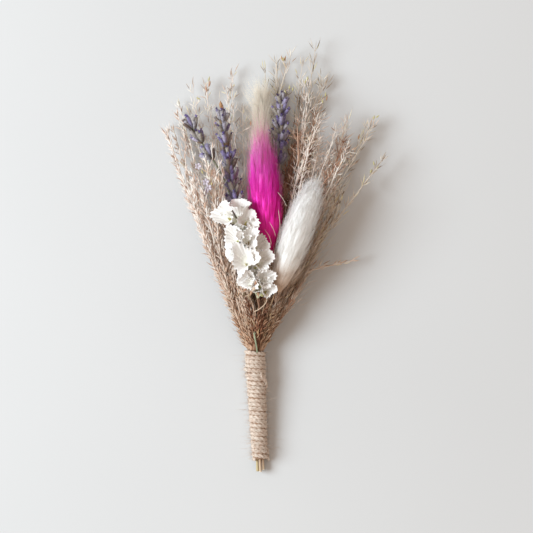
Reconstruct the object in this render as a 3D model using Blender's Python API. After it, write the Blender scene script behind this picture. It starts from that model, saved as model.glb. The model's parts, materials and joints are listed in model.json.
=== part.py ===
"""A dried-flower boutonniere, lying on its back.

Seven flower stems and twelve grass stalks are bound in a sleeve of jute twine. The flowers are
three hare's-tail grass heads (dyed pink, bleached white, natural cream), three lavender spikes
and one spray of white statice.

Lengths are in millimetres until new_object() turns them into Blender's metres. +Y runs from the
cut stems to the flowers, +Z is up, and the origin is on the flat spot under the twine, where the
binding rests.
"""

import math
import random

import bpy
import numpy as np
from mathutils import Vector
from mathutils.bvhtree import BVHTree

MM = 0.001
SHARP_DEGREES = 50

# The handle: its middle leans to the left and rises from the flat spot to the flowers
HANDLE_HEIGHT = 3.25
HANDLE_RISE = 0.07
HANDLE_LEAN = -0.047

# The twine: where the binding starts and ends along Y, its radius there, and how far apart its
# turns are. The relief is the depth of the valley between two turns.
BINDING_LOW = -5.3
BINDING_HIGH = 43.6
BINDING_RADIUS_LOW = 3.5
BINDING_RADIUS_HIGH = 4.4
TWINE_PITCH = 1.88
TWINE_RELIEF = 0.42
TWINE_SIDES = 12

# The bundle: slot 0 is its middle, 1 to 6 are round it and 7 to 18 round those, each ring
# anticlockwise from the right as seen from the cut ends. The seven flower stems run on to the cut
# ends in slots 0 to 6. The grass stalks end inside the binding, above where its bore narrows.
STEM_RADIUS = 0.56
STALK_RADIUS = 0.45
INNER_RING = 1.44
OUTER_RING = 2.66
STALK_FOOT = 28.0
BORE_NARROW = 2.3
BORE_WIDE = 3.35
BORE_NARROW_TO = 14.0
BORE_WIDE_FROM = 23.0

# How soon a stem turns to its end as it leaves the binding, and a fork as it leaves its stalk:
# 0 is along what it leaves, and 1 is straight to the end
STEM_TURN = 0.65
FORK_TURN = 0.4

# Room between neighbours
SEAT_GAP = 0.3
CLEAR = 0.25
ABOVE_TABLE = 0.15

# Hare's-tail heads: slots at the mouth and foot of the binding, base and tip of the core, its
# largest radius, the awns' length, the random seed, and where the stem is cut
TAILS = {
    "pink_tail": dict(
        mouth=9, foot=2, base=(3.4, 86.0, 15.4), tip=(1.2, 131.0, 19.6), core=4.3, awn=10.2,
        seed=11, cut=-10.1,
    ),
    "white_tail": dict(
        mouth=8, foot=1, base=(10.6, 68.0, 19.6), tip=(23.4, 108.5, 25.0), core=3.9, awn=9.6,
        seed=12, cut=-9.2,
    ),
    "cream_tail": dict(
        mouth=0, foot=0, base=(0.5, 114.0, 7.4), tip=(-0.5, 156.0, 9.0), core=3.6, awn=9.4,
        seed=13, cut=-8.0,
    ),
}

# Lavender spikes: slots, where the buds begin, the tip, the whorls of buds, the random seed, and
# where the stem is cut
LAVENDERS = {
    "lavender_left": dict(
        mouth=14, foot=5, base=(-20.0, 127.0, 10.5), tip=(-33.0, 147.0, 13.0), whorls=4, seed=21,
        cut=-7.4,
    ),
    "lavender_middle": dict(
        mouth=3, foot=4, base=(-9.8, 107.0, 15.5), tip=(-17.4, 151.0, 14.5), whorls=7, seed=22,
        cut=-9.8,
    ),
    "lavender_right": dict(
        mouth=6, foot=6, base=(8.6, 126.0, 12.0), tip=(10.2, 157.0, 13.5), whorls=5, seed=23,
        cut=-8.6,
    ),
}

# Grass stalks: slot at the mouth of the binding, tip, how far the middle bows out, the random
# seed, and the forks as (share of the stalk where one leaves, its tip)
GRASSES = {
    "grass_left_edge": dict(
        mouth=12, tip=(-39.5, 141.5, 9.0), bow=(-1.5, 0, 0.0), seed=43,
        forks=[(0.52, (-36.5, 126.0, 15.0)), (0.70, (-33.0, 138.0, 4.5))],
    ),
    "grass_left_low": dict(
        mouth=13, tip=(-35.5, 152.0, 5.0), bow=(-0.5, 0, -1.4), seed=32,
        forks=[(0.45, (-26.0, 112.0, 0.0))],
    ),
    "grass_left_front": dict(
        mouth=4, tip=(-29.5, 121.0, 19.5), bow=(-1.5, 0, 1.0), seed=33,
        forks=[(0.55, (-25.0, 113.0, 23.5))],
    ),
    "grass_left_tall": dict(
        mouth=15, tip=(-24.5, 163.5, 5.6), bow=(-1.0, 0, -1.2), seed=34,
        forks=[(0.66, (-20.0, 148.0, 3.6))],
    ),
    "grass_back_left": dict(
        mouth=16, tip=(-12.5, 168.0, 3.6), bow=(-1.6, 0, -1.0), seed=35, forks=[],
    ),
    "grass_back_right": dict(
        mouth=5, tip=(7.5, 175.0, 5.0), bow=(2.4, 0, -1.0), seed=44,
        forks=[(0.80, (13.4, 173.0, 8.5))],
    ),
    "grass_tall": dict(
        mouth=17, tip=(25.0, 178.0, 7.0), bow=(1.5, 0, -1.2), seed=37,
        forks=[(0.62, (21.5, 160.0, 10.5)), (0.70, (31.5, 166.0, 4.0))],
    ),
    "grass_right_high": dict(
        mouth=18, tip=(50.5, 147.5, 6.5), bow=(-1.0, 0, -1.2), seed=38,
        forks=[(0.58, (39.5, 149.5, 9.5)), (0.42, (31.0, 112.0, 0.0))],
    ),
    "grass_right_edge": dict(
        mouth=7, tip=(53.5, 128.5, 12.0), bow=(-2.0, 0, 0.5), seed=39,
        forks=[(0.34, (43.5, 84.0, 7.0)), (0.62, (36.0, 112.0, 16.5))],
    ),
    "grass_plume_right": dict(
        mouth=1, tip=(34.5, 143.0, 17.5), bow=(1.0, 0, -3.0), seed=40,
        forks=[(0.50, (26.5, 134.0, 14.5)), (0.62, (38.5, 131.5, 20.0))],
    ),
    "grass_plume_middle": dict(
        mouth=2, tip=(21.0, 152.5, 19.5), bow=(3.5, 0, -2.0), seed=41,
        forks=[(0.66, (27.0, 146.0, 23.0)), (0.74, (16.5, 143.0, 22.0))],
    ),
    "grass_left_inner": dict(
        mouth=11, tip=(-22.5, 134.5, 20.5), bow=(-3.0, 0, 0.5), seed=42,
        forks=[(0.60, (-16.0, 124.0, 22.5))],
    ),
}

# The spray of statice: the middle line of its head, the head's radii, and its papery cups, each
# as the middle of the rim, the way it faces and its radius
STATICE_MOUTH = 10
STATICE_FOOT = 3
STATICE_CUT = -9.9
STATICE_SPINE = ((-0.6, 65.8, 20.0), (-4.4, 80.5, 22.4), (-8.4, 98.5, 22.0))
STATICE_SPINE_RADII = (0.9, 1.7, 1.0)
STATICE_CUPS = [
    ((-16.0, 103.8, 24.5), (-0.45, 0.25, 0.86), 5.2),
    ((-9.6, 107.0, 25.0), (-0.10, 0.90, 0.42), 4.6),
    ((-4.6, 101.5, 26.6), (0.42, 0.62, 0.66), 4.6),
    ((-11.4, 94.0, 28.0), (-0.50, 0.05, 0.86), 4.8),
    ((-4.6, 93.6, 30.0), (0.05, 0.20, 0.98), 4.4),
    ((1.0, 93.4, 26.6), (0.62, 0.50, 0.60), 4.2),
    ((-13.0, 87.5, 26.0), (-0.85, -0.10, 0.50), 4.0),
    ((-6.6, 84.6, 30.6), (-0.15, -0.05, 0.98), 6.0),
    ((2.0, 84.0, 29.0), (0.45, 0.05, 0.89), 4.8),
    ((-5.0, 74.5, 27.6), (-0.35, -0.35, 0.87), 4.4),
    ((3.2, 75.6, 28.6), (0.30, -0.10, 0.95), 4.2),
    ((5.0, 70.0, 26.4), (0.40, -0.60, 0.69), 3.8),
]
CUP_PLEATS = 7
CUP_PLEAT_DEPTH = 0.19
CUP_RAGGED = 0.06
CUP_THICKNESS = 0.7
CUP_NECK = 0.7
CUP_DROP = 6.0
CUP_THROAT = 0.25
STATICE_SEED = 52

FINISHES = {
    "twine": dict(colour=(0.62, 0.49, 0.35), roughness=0.9),
    "straw": dict(colour=(0.50, 0.37, 0.25), roughness=0.8),
    "stem": dict(colour=(0.42, 0.36, 0.20), roughness=0.7),
    "lavender": dict(colour=(0.20, 0.16, 0.34), roughness=0.8),
    "statice_white": dict(colour=(0.86, 0.84, 0.79), roughness=0.7),
    "statice_green": dict(colour=(0.16, 0.22, 0.10), roughness=0.7),
    "pink_tail": dict(colour=(0.72, 0.02, 0.28), roughness=0.8),
    "white_tail": dict(colour=(0.86, 0.82, 0.76), roughness=0.8),
    "cream_tail": dict(colour=(0.74, 0.66, 0.54), roughness=0.8),
}


# Objects and Booleans
def finish(name):
    """The Principled material of that name, made once."""
    material = bpy.data.materials.get(name)
    if material is None:
        material = bpy.data.materials.new(name)
        material.use_nodes = True
        shader = material.node_tree.nodes["Principled BSDF"]
        shader.inputs["Base Color"].default_value = (*FINISHES[name]["colour"], 1.0)
        shader.inputs["Roughness"].default_value = FINISHES[name]["roughness"]
        shader.inputs["Metallic"].default_value = 0.0
    return material


def in_triangles(shape):
    """A closed shape's points, and its faces cut into flat triangles that point outwards."""
    points, faces = shape
    faces = [(face[0], b, c) for face in faces for b, c in zip(face[1:-1], face[2:])]
    volume = sum(points[a].dot(points[b].cross(points[c])) for a, b, c in faces)
    return points, faces if volume > 0 else [(c, b, a) for a, b, c in faces]


def new_object(name, shape, finish_name):
    """An object, not yet in the scene, of one closed shape: its points in millimetres and its
    faces."""
    points, faces = in_triangles(shape)
    mesh = bpy.data.meshes.new(name)
    mesh.from_pydata([tuple(point * MM) for point in points], [], faces)
    mesh.materials.append(finish(finish_name))
    return bpy.data.objects.new(name, mesh)


def apply_boolean(obj, operation, shapes, solver="EXACT"):
    """One Boolean of an object with a collection of shapes, which doesn't outlast it."""
    group = bpy.data.collections.new(obj.name + "_shapes")
    bpy.context.scene.collection.children.link(group)
    finish_name = obj.data.materials[0].name
    others = [new_object(f"{obj.name}_{i}", shape, finish_name) for i, shape in enumerate(shapes)]
    for other in others:
        group.objects.link(other)
    modifier = obj.modifiers.new(operation.lower(), "BOOLEAN")
    modifier.operation = operation
    modifier.operand_type = "COLLECTION"
    modifier.collection = group
    modifier.solver = solver
    bpy.context.view_layer.objects.active = obj
    bpy.ops.object.modifier_apply(modifier=modifier.name)
    for other in others:
        bpy.data.objects.remove(other)
    bpy.data.collections.remove(group)


def fused(name, shapes, finish_name, solver="EXACT"):
    """One object in the scene: the first shape, with the others fused into it."""
    obj = new_object(name, shapes[0], finish_name)
    bpy.context.scene.collection.objects.link(obj)
    if len(shapes) > 1:
        apply_boolean(obj, "UNION", shapes[1:], solver)
    obj.data.shade_smooth()
    obj.data.set_sharp_from_angle(angle=math.radians(SHARP_DEGREES))
    return obj


# Shapes
def directions_across(line):
    """For each point of a line, two directions square to it that don't twist along the way."""
    across = []
    side = None
    for i in range(len(line)):
        way = (line[min(i + 1, len(line) - 1)] - line[max(i - 1, 0)]).normalized()
        side = way.orthogonal() if side is None else side - way * side.dot(way)
        side.normalize()
        across.append((side.copy(), way.cross(side)))
    return across


def rings_along(line, radii, sides, twists=None):
    """A ring of points round each point of a line. A last radius of 0 gives a single point."""
    rings = []
    twists = twists or [0.0] * len(line)
    for centre, radius, twist, (u, v) in zip(line, radii, twists, directions_across(line)):
        turns = [twist + 2 * math.pi * k / sides for k in range(sides if radius else 1)]
        rings.append([centre + (u * math.cos(t) + v * math.sin(t)) * radius for t in turns])
    return rings


def skin(rings):
    """The closed surface over rings of points, as points and faces. The faces between rings i
    and i + 1 start at place 1 + i * sides."""
    sides = len(rings[0])
    points = [point for ring in rings for point in ring]
    faces = [tuple(reversed(range(sides)))]
    for i, ring in enumerate(rings[1:]):
        low, high = i * sides, (i + 1) * sides
        for k in range(sides):
            n = (k + 1) % sides
            if len(ring) == 1:
                faces.append((low + k, low + n, high))
            else:
                faces.append((low + k, low + n, high + n, high + k))
    if len(rings[-1]) > 1:
        faces.append(tuple(range((len(rings) - 1) * sides, len(rings) * sides)))
    return points, faces


def drawn_out(rings, shoots):
    """The surface over rings with some faces, given by ring and side, drawn out into shoots: each
    through copies of its outline at the shoot's middles and scales, to a point. A shoot that
    crosses something that is there already stays a plain face."""
    points, faces = skin(rings)
    sides = len(rings[0])
    for (i, k), shoot in shoots.items():
        plain = 1 + i * sides + k
        outline = list(faces[plain])
        corners = [points[c] for c in outline]
        middle = sum(corners, Vector()) / 4
        new_points = [centre + (corner - middle) * scale for centre, scale in shoot[:-1]
                      for corner in corners] + [shoot[-1][0]]
        new_faces = []
        first = len(points)
        for step in range(len(shoot) - 1):
            copy = [first + 4 * step + m for m in range(4)]
            for m in range(4):
                n = (m + 1) % 4
                new_faces += [(outline[m], outline[n], copy[n]), (outline[m], copy[n], copy[m])]
            outline = copy
        apex = first + len(new_points) - 1
        new_faces += [(outline[m], outline[(m + 1) % 4], apex) for m in range(4)]
        kept = faces[:plain] + faces[plain + 1:]
        if not crosses(points + new_points, kept, new_faces):
            points += new_points
            faces[plain] = new_faces[0]
            faces += new_faces[1:]
    return points, faces


def crosses(points, faces, new_faces):
    """Whether one of the new faces cuts a face with which it shares no corner."""
    old = BVHTree.FromPolygons(points, faces)
    new = BVHTree.FromPolygons(points, new_faces)
    return any(not set(faces[a]) & set(new_faces[b]) for a, b in old.overlap(new))


def tube(line, radii, sides):
    """A closed tube along a line."""
    return skin(rings_along(line, radii, sides))


def box(low, high):
    """A box between two corners."""
    corners = [Vector((x, y, z)) for z in (low[2], high[2]) for y in (low[1], high[1])
               for x in (low[0], high[0])]
    return corners, [(0, 2, 3, 1), (4, 5, 7, 6), (0, 1, 5, 4), (2, 6, 7, 3), (0, 4, 6, 2),
                     (1, 3, 7, 5)]


# Room: what is already placed, so that what is placed next stays clear of it
class Room:
    """Straight pieces with a radius, each with the name of the node that it belongs to."""

    def __init__(self):
        self.names = []
        self.owners = np.zeros(0, int)
        self.starts = np.zeros((0, 3))
        self.ends = np.zeros((0, 3))
        self.radii = np.zeros(0)

    def number(self, name):
        if name not in self.names:
            self.names.append(name)
        return self.names.index(name)

    def take(self, name, line, radii):
        """Takes up the space along a line."""
        points = np.array([tuple(point) for point in line])
        widest = np.maximum(radii[:-1], radii[1:])
        self.owners = np.append(self.owners, np.full(len(widest), self.number(name)))
        self.starts = np.vstack([self.starts, points[:-1]])
        self.ends = np.vstack([self.ends, points[1:]])
        self.radii = np.append(self.radii, widest)

    def gap(self, name, line, radii):
        """The least distance from a line's surface to what the other nodes take up."""
        others = self.owners != self.number(name)
        starts, ends, taken = self.starts[others], self.ends[others], self.radii[others]
        least = math.inf
        for p, q, a, b in zip(line[:-1], line[1:], radii[:-1], radii[1:]):
            apart = distances(np.array(tuple(p)), np.array(tuple(q)), starts, ends) - taken
            least = min(least, float(apart.min(initial=math.inf)) - max(a, b))
        return least


def distances(p, q, starts, ends):
    """The distance from the straight piece p to q to each of the pieces from starts to ends."""
    tiny = 1e-9
    along, others, away = q - p, ends - starts, p - starts
    a = max(float(along @ along), tiny)
    e = np.maximum((others * others).sum(1), tiny)
    b, c, f = others @ along, away @ along, (others * away).sum(1)
    spread = a * e - b * b
    s = np.where(spread > tiny, (b * f - c * e) / np.maximum(spread, tiny), 0.0).clip(0, 1)
    t = ((b * s + f) / e).clip(0, 1)
    s = ((b * t - c) / a).clip(0, 1)
    between = (p + np.outer(s, along)) - (starts + others * t[:, None])
    return np.sqrt((between * between).sum(1))


# The handle
def handle_middle(y):
    return Vector((HANDLE_LEAN * y, y, HANDLE_HEIGHT + HANDLE_RISE * y))


def round_the_handle(y, degrees, radius):
    """A point at an angle and a distance from the handle's middle: 0 is right, and 90 is up."""
    turn = math.radians(degrees)
    return handle_middle(y) + Vector((math.cos(turn), 0, math.sin(turn))) * radius


def binding_radius(y):
    share = (y - BINDING_LOW) / (BINDING_HIGH - BINDING_LOW)
    return BINDING_RADIUS_LOW + share * (BINDING_RADIUS_HIGH - BINDING_RADIUS_LOW)


def twine_winding():
    """The outside of the wound twine, longer than the binding at both ends. Rows of crests and
    valleys climb one pitch in each turn, so a row's last point meets the row two further on. A
    crest lies at y = 0, under the handle's middle."""
    step = TWINE_PITCH / 2
    below = 2 * math.ceil((TWINE_PITCH - BINDING_LOW) / TWINE_PITCH)
    rows = below + math.ceil((BINDING_HIGH + TWINE_PITCH) / step)
    points = []
    for i in range(rows + 1):
        relief = TWINE_RELIEF if (i - below) % 2 else 0.0
        for j in range(TWINE_SIDES):
            y = (i - below) * step + TWINE_PITCH * j / TWINE_SIDES
            degrees = 360 * j / TWINE_SIDES - 90
            points.append(round_the_handle(y, degrees, binding_radius(y) - relief))

    def place(i, j):
        return i * TWINE_SIDES + j

    end = TWINE_SIDES - 1
    faces = []
    for i in range(rows):
        faces += [(place(i, j), place(i, j + 1), place(i + 1, j + 1), place(i + 1, j))
                  for j in range(end)]
    faces += [(place(i, end), place(i + 2, 0), place(i + 3, 0), place(i + 1, end))
              for i in range(rows - 2)]
    low_edge = [place(0, j) for j in range(TWINE_SIDES)] + [place(2, 0), place(1, 0)]
    high_edge = [place(rows, j) for j in range(TWINE_SIDES)]
    high_edge += [place(rows - 1, end), place(rows - 2, end)]
    for edge in (low_edge, list(reversed(high_edge))):
        middle = sum((points[p] for p in edge), Vector()) / len(edge)
        points.append(middle)
        faces += [(b, a, len(points) - 1) for a, b in zip(edge, edge[1:] + edge[:1])]
    return points, faces


def build_binding():
    """The jute twine wound on the stems. It has flat ends, a bore for the stems, and the flat
    spot that it rests on."""
    far = 3 * BINDING_RADIUS_HIGH
    bore_line = [BINDING_LOW - far, BORE_NARROW_TO, BORE_WIDE_FROM, BINDING_HIGH + far]
    bore_radii = [BORE_NARROW, BORE_NARROW, BORE_WIDE, BORE_WIDE]
    cutters = [
        tube([handle_middle(y) for y in bore_line], bore_radii, TWINE_SIDES),
        box((-far, BINDING_LOW - far, -far), (far, BINDING_LOW, far)),
        box((-far, BINDING_HIGH, -far), (far, BINDING_HIGH + far, far)),
        box((-far, BINDING_LOW - far, -far), (far, BINDING_HIGH + far, 0)),
    ]
    binding = fused("twine_binding", [twine_winding()], "twine")
    apply_boolean(binding, "DIFFERENCE", cutters)


# Stems
def curve(start, end, leave, arrive, count):
    """A cubic curve between two points, which leaves and arrives along two given ways."""
    line = []
    for i in range(count + 1):
        t = i / count
        line.append(start * (2 * t**3 - 3 * t**2 + 1) + leave * (t**3 - 2 * t**2 + t)
                    + end * (3 * t**2 - 2 * t**3) + arrive * (t**3 - t**2))
    return line


def slot_place(slot):
    """The angle of a slot round the middle of the bundle, in degrees, and its distance."""
    if slot == 0:
        return 0.0, 0.0
    if slot <= 6:
        return 60.0 * slot - 30.0, INNER_RING
    return 30.0 * (slot - 7) + 15.0, OUTER_RING


def in_slot(slot, y):
    return round_the_handle(y, *slot_place(slot))


def flower_foot(cut, foot, mouth):
    """The part of a flower's stem inside the binding: in its lower slot from the cut end up to
    where the bore widens, then round to its upper slot."""
    (low_turn, low_ring), (high_turn, high_ring) = slot_place(foot), slot_place(mouth)
    half = round_the_handle((BORE_NARROW_TO + STALK_FOOT) / 2, (low_turn + high_turn) / 2,
                            (low_ring + high_ring) / 2)
    return [in_slot(foot, cut), in_slot(foot, BORE_NARROW_TO), half, in_slot(mouth, STALK_FOOT)]


def stalk_foot(mouth):
    """The part of a grass stalk inside the binding."""
    return [in_slot(mouth, STALK_FOOT), in_slot(mouth, (STALK_FOOT + BINDING_HIGH) / 2)]


def stem(inside, slot, end, arrive, count, bow=(0, 0, 0)):
    """A stem's line: through the binding, then in one curve from its mouth to the stem's end,
    where it arrives along a given way, or straight if that is None."""
    mouth = in_slot(slot, BINDING_HIGH)
    across = Vector(end) - mouth
    along_handle = (handle_middle(1) - handle_middle(0)).normalized() * across.length
    leave = along_handle.lerp(across, STEM_TURN)
    arrive = across if arrive is None else arrive * across.length
    line = curve(mouth, Vector(end), leave, arrive, count)
    for i, point in enumerate(line):
        point += Vector(bow) * math.sin(math.pi * i / count)
    return inside + line


def length_of(line):
    return sum((b - a).length for a, b in zip(line[:-1], line[1:]))


def at_share(line, share):
    """The point at a share of a line's length, and the way that the line runs there."""
    left = share * length_of(line)
    for a, b in zip(line[:-1], line[1:]):
        length = (b - a).length
        if left <= length:
            break
        left -= length
    return a.lerp(b, min(1.0, left / length)), (b - a).normalized()


# Shoots: the ways in which one is tried, as the share of its lean that it keeps and how far it goes
# to the side; past which share of its length it stays clear of what its own node holds; how many
# half widths two shoots keep apart; and how a shoot gets thinner
SHOOT_TRIES = ((1.0, 0.0), (1.0, 0.35), (1.0, -0.35), (0.6, 0.0), (0.6, 0.4), (0.6, -0.4))
SHOOT_FREE_FROM = 0.3
SHOOT_APART = 1.4
SHOOT_TAPER = 0.8
SHOOT_POINT = 0.1


def grow(room, name, rings, places, kind, rng, spray, stalk):
    """Draws shoots of one kind out of faces, each given by its ring and side. They lean off the
    line of the rings, with up to the kind's jitter. One that comes too near another node, or
    another stalk or shoot of its own spray, is tried closer to the line and to both sides, and in
    the end left out. The kind's profile is a shoot's middles, as shares of its length, and its
    scales."""
    sides = len(rings[0])
    jitter = kind["jitter"]
    shoots = {}
    for i, k in places:
        low, high = rings[i], rings[i + 1]
        foot, head = sum(low, Vector()) / sides, sum(high, Vector()) / sides
        corners = [low[k], low[(k + 1) % sides], high[(k + 1) % sides], high[k]]
        root = sum(corners, Vector()) / 4
        way = (head - foot).normalized()
        out = root - (foot + head) / 2
        out = (out - way * out.dot(way)).normalized()
        aside = way.cross(out)
        widest = max(1.0, *(scale for _, scale in kind["profile"]))
        half_width = (corners[0] - corners[1]).length / 2 * widest
        reach = kind["length"] * rng.uniform(0.85, 1.1)
        wobble, spread = rng.uniform(-jitter, jitter), kind["lean"] + rng.uniform(-jitter, jitter)
        for closer, sideways in SHOOT_TRIES:
            aim = way * math.cos(spread * closer) + out * math.sin(spread * closer)
            aim = (aim + aside * (wobble + sideways)).normalized()
            tip = root + aim * reach
            tip.z = max(tip.z, ABOVE_TABLE)
            line = [root, root.lerp(tip, 0.5), tip]
            radii = [half_width, half_width * SHOOT_TAPER, SHOOT_POINT]
            free = [root.lerp(tip, SHOOT_FREE_FROM), tip]
            free_radii = [SHOOT_APART / 2 * half_width] * 2
            if room.gap(name, line, radii) >= CLEAR and spray.gap(stalk, free, free_radii) >= 0:
                spray.take("shoots", free, free_radii)
                room.take(name, line, radii)
                shoots[i, k] = [(root.lerp(tip, share), scale) for share, scale in kind["profile"]]
                break
    return shoots


# Hare's-tail grass
CORE_SHARES = (0.0, 0.14, 0.38, 0.68, 0.90, 1.0)
CORE_SHAPE = (0.34, 0.80, 1.0, 0.84, 0.50, 0.22)
AWN_ROWS = 14
AWN_SIDES = 12
AWNS = dict(lean=0.56, jitter=0.05, profile=((1.0, 0),))


def tail_core(tail, rows=6):
    """The solid middle of a head: its line and its radii."""
    base, tip = Vector(tail["base"]), Vector(tail["tip"])
    shares = [i / rows for i in range(rows + 1)]
    radii = [tail["core"] * float(np.interp(share, CORE_SHARES, CORE_SHAPE)) for share in shares]
    return [base.lerp(tip, share) for share in shares], radii


def tail_stem(tail):
    """The stem, which ends just short of the head that it carries."""
    base, tip = Vector(tail["base"]), Vector(tail["tip"])
    way = (tip - base).normalized()
    inside = flower_foot(tail["cut"], tail["foot"], tail["mouth"])
    line = stem(inside, tail["mouth"], base - way * SEAT_GAP, way, 8)
    return line, [STEM_RADIUS] * len(line)


def tail_head(room, name, tail):
    """The core with awns all over it, which lean to its tip. Each row is turned by half an awn
    from the one below."""
    rng = random.Random(tail["seed"])
    line, radii = tail_core(tail, AWN_ROWS)
    twists = [math.pi / AWN_SIDES * (row % 2) for row in range(AWN_ROWS + 1)]
    rings = rings_along(line, radii, AWN_SIDES, twists)
    places = [(row, k) for row in range(AWN_ROWS) for k in range(AWN_SIDES)]
    kind = dict(AWNS, length=tail["awn"])
    shoots = grow(room, name, rings, places, kind, rng, Room(), name)
    return drawn_out(rings, shoots)


# Lavender
WHORL_SIDES = 6
WHORL_DEPTH = 0.9
WHORL_START = 0.3
BUDS = dict(length=6.6, lean=0.62, jitter=0.08, profile=((0.28, 1.9), (0.75, 2.3), (1.0, 0)))


def lavender_stem(lavender):
    """One stem from its cut end to the tip of the spike."""
    base, tip = Vector(lavender["base"]), Vector(lavender["tip"])
    inside = flower_foot(lavender["cut"], lavender["foot"], lavender["mouth"])
    line = stem(inside, lavender["mouth"], base, (tip - base).normalized(), 8)
    line += [base.lerp(tip, 0.5), tip]
    return line, [STEM_RADIUS] * len(line)


def lavender_spray(room, name, lavender):
    """The stem with whorls of buds round its top. Each whorl is turned by half a bud from the
    one below."""
    rng = random.Random(lavender["seed"])
    line, radii = lavender_stem(lavender)
    base, tip = Vector(lavender["base"]), Vector(lavender["tip"])
    depth = (tip - base).normalized() * WHORL_DEPTH
    line, radii = line[:-2], radii[:-2]
    twists = [0.0] * len(line)
    first = len(line)
    for whorl in range(lavender["whorls"]):
        middle = base.lerp(tip, (whorl + WHORL_START) / lavender["whorls"])
        line += [middle, middle + depth]
        radii += [STEM_RADIUS, STEM_RADIUS]
        twists += [math.pi / WHORL_SIDES * (whorl % 2)] * 2
    line.append(tip)
    radii.append(0.0)
    twists.append(0.0)
    rings = rings_along(line, radii, WHORL_SIDES, twists)
    places = [(first + 2 * whorl, k) for whorl in range(lavender["whorls"])
              for k in range(WHORL_SIDES)]
    shoots = grow(room, name, rings, places, BUDS, rng, Room(), name)
    return drawn_out(rings, shoots)


# Grass
STALK_SIDES = 4
NODE_APART = 7.0
NODE_DEPTH = 1.5
LAST_NODE = 6.8
SPIKELETS = dict(length=8.0, lean=0.42, jitter=0.15, profile=((1.0, 0),))


def grass_lines(grass):
    """The stalk and its forks, each a line and its radii."""
    mouth = grass["mouth"]
    line = stem(stalk_foot(mouth), mouth, grass["tip"], None, 9, grass["bow"])
    lines = [(line, [STALK_RADIUS] * (len(line) - 1) + [0.0])]
    for share, tip in grass["forks"]:
        start, way = at_share(line, share)
        across = Vector(tip) - start
        leave = (way * across.length).lerp(across, FORK_TURN)
        fork = curve(start, Vector(tip), leave, across, 4)
        lines.append((fork, [STALK_RADIUS] * (len(fork) - 1) + [0.0]))
    return lines


def spikelet_stalk(room, name, line, foot, rng, spray, stalk):
    """A stalk or fork that ends in a point, with nodes along it past its foot, which is a list of
    lengths. Each node has a spikelet on every side."""
    whole = length_of(line)
    start = foot[-1] + NODE_APART / 2
    count = max(2, round((whole - start) / NODE_APART))
    end = whole - LAST_NODE
    lengths = [start + (end - start) * n / (count - 1) for n in range(count)]
    stations = foot + [at for length in lengths for at in (length, length + NODE_DEPTH)]
    turns = [rng.uniform(0, math.pi / 2) for _ in lengths]
    twists = [turns[0]] * len(foot) + [turn for turn in turns for _ in range(2)] + [turns[-1]]
    points = [at_share(line, station / whole)[0] for station in stations] + [line[-1]]
    rings = rings_along(points, [STALK_RADIUS] * len(stations) + [0.0], STALK_SIDES, twists)
    places = [(len(foot) + 2 * n, k) for n in range(count) for k in range(STALK_SIDES)]
    return drawn_out(rings, grow(room, name, rings, places, SPIKELETS, rng, spray, stalk))


def grass_spray(room, name, grass):
    """A stalk and its forks, with their spikelets."""
    rng = random.Random(grass["seed"])
    stalks = {f"{name}_{i}": stalk for i, stalk in enumerate(grass_lines(grass))}
    spray = Room()
    for stalk, (line, radii) in stalks.items():
        spray.take(stalk, line, radii)
    shapes = []
    for stalk, (line, _) in stalks.items():
        foot = [0.0] if shapes else [0.0, length_of(line[:3])]
        shapes.append(spikelet_stalk(room, name, line, foot, rng, spray, stalk))
    return shapes


# Statice
def statice_spine():
    return [Vector(point) for point in STATICE_SPINE], list(STATICE_SPINE_RADII)


def statice_stem():
    """The green stem, which ends just short of the head."""
    line, _ = statice_spine()
    way = (line[1] - line[0]).normalized()
    inside = flower_foot(STATICE_CUT, STATICE_FOOT, STATICE_MOUTH)
    stalk = stem(inside, STATICE_MOUTH, line[0] - way * SEAT_GAP, way, 7)
    return stalk, [STEM_RADIUS] * len(stalk)


def cup_root(centre):
    """Where a cup grows out of the spine: a little lower down the spray than its rim."""
    line, _ = statice_spine()
    low, high = line[0].y, line[-1].y
    share = (centre[1] - CUP_DROP - low) / (high - low)
    return at_share(line, min(max(share, 0.04), 0.96))[0]


def cup_ring(centre, facing, radius, count):
    """Points round a circle that faces a given way."""
    u = facing.orthogonal().normalized()
    v = facing.cross(u)
    return [centre + (u * math.cos(turn) + v * math.sin(turn)) * radius
            for turn in (2 * math.pi * k / count for k in range(count))]


def cup(centre, facing, radius, rng):
    """A papery cup: a pleated funnel from its root on the spine to a waved rim."""
    centre, facing, root = Vector(centre), Vector(facing).normalized(), cup_root(centre)
    count = 2 * CUP_PLEATS
    neck = cup_ring(root, (centre - root).normalized(), CUP_NECK, count)
    rim = cup_ring(centre, facing, radius, count)
    for k, point in enumerate(rim):
        valley = k % 2
        inwards = CUP_PLEAT_DEPTH * valley + rng.uniform(-CUP_RAGGED, CUP_RAGGED)
        upwards = CUP_PLEAT_DEPTH * (0.5 - valley) + rng.uniform(-CUP_RAGGED, CUP_RAGGED)
        point += (centre - point) * inwards + facing * radius * upwards
    inner = [point + facing * CUP_THICKNESS for point in rim]
    throat = centre.lerp(root, CUP_THROAT)
    faces = [tuple(reversed(range(count)))]
    for k in range(count):
        n = (k + 1) % count
        for low, high in ((0, count), (count, 2 * count)):
            faces += [(low + k, low + n, high + n), (low + k, high + n, high + k)]
        faces.append((2 * count + k, 2 * count + n, 3 * count))
    return neck + rim + inner + [throat], faces


def statice_cups():
    rng = random.Random(STATICE_SEED)
    return [cup(centre, facing, radius, rng) for centre, facing, radius in STATICE_CUPS]


def take_statice(room):
    """The room that the spray takes up: its stem, its spine, and each cup as lines from its root
    to its rim."""
    room.take("statice_stem", *statice_stem())
    room.take("statice_head", *statice_spine())
    for centre, facing, radius in STATICE_CUPS:
        root = cup_root(Vector(centre))
        for edge in cup_ring(Vector(centre), Vector(facing).normalized(), radius, 14):
            room.take("statice_head", [root, edge], [CUP_NECK, CUP_NECK])


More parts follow.
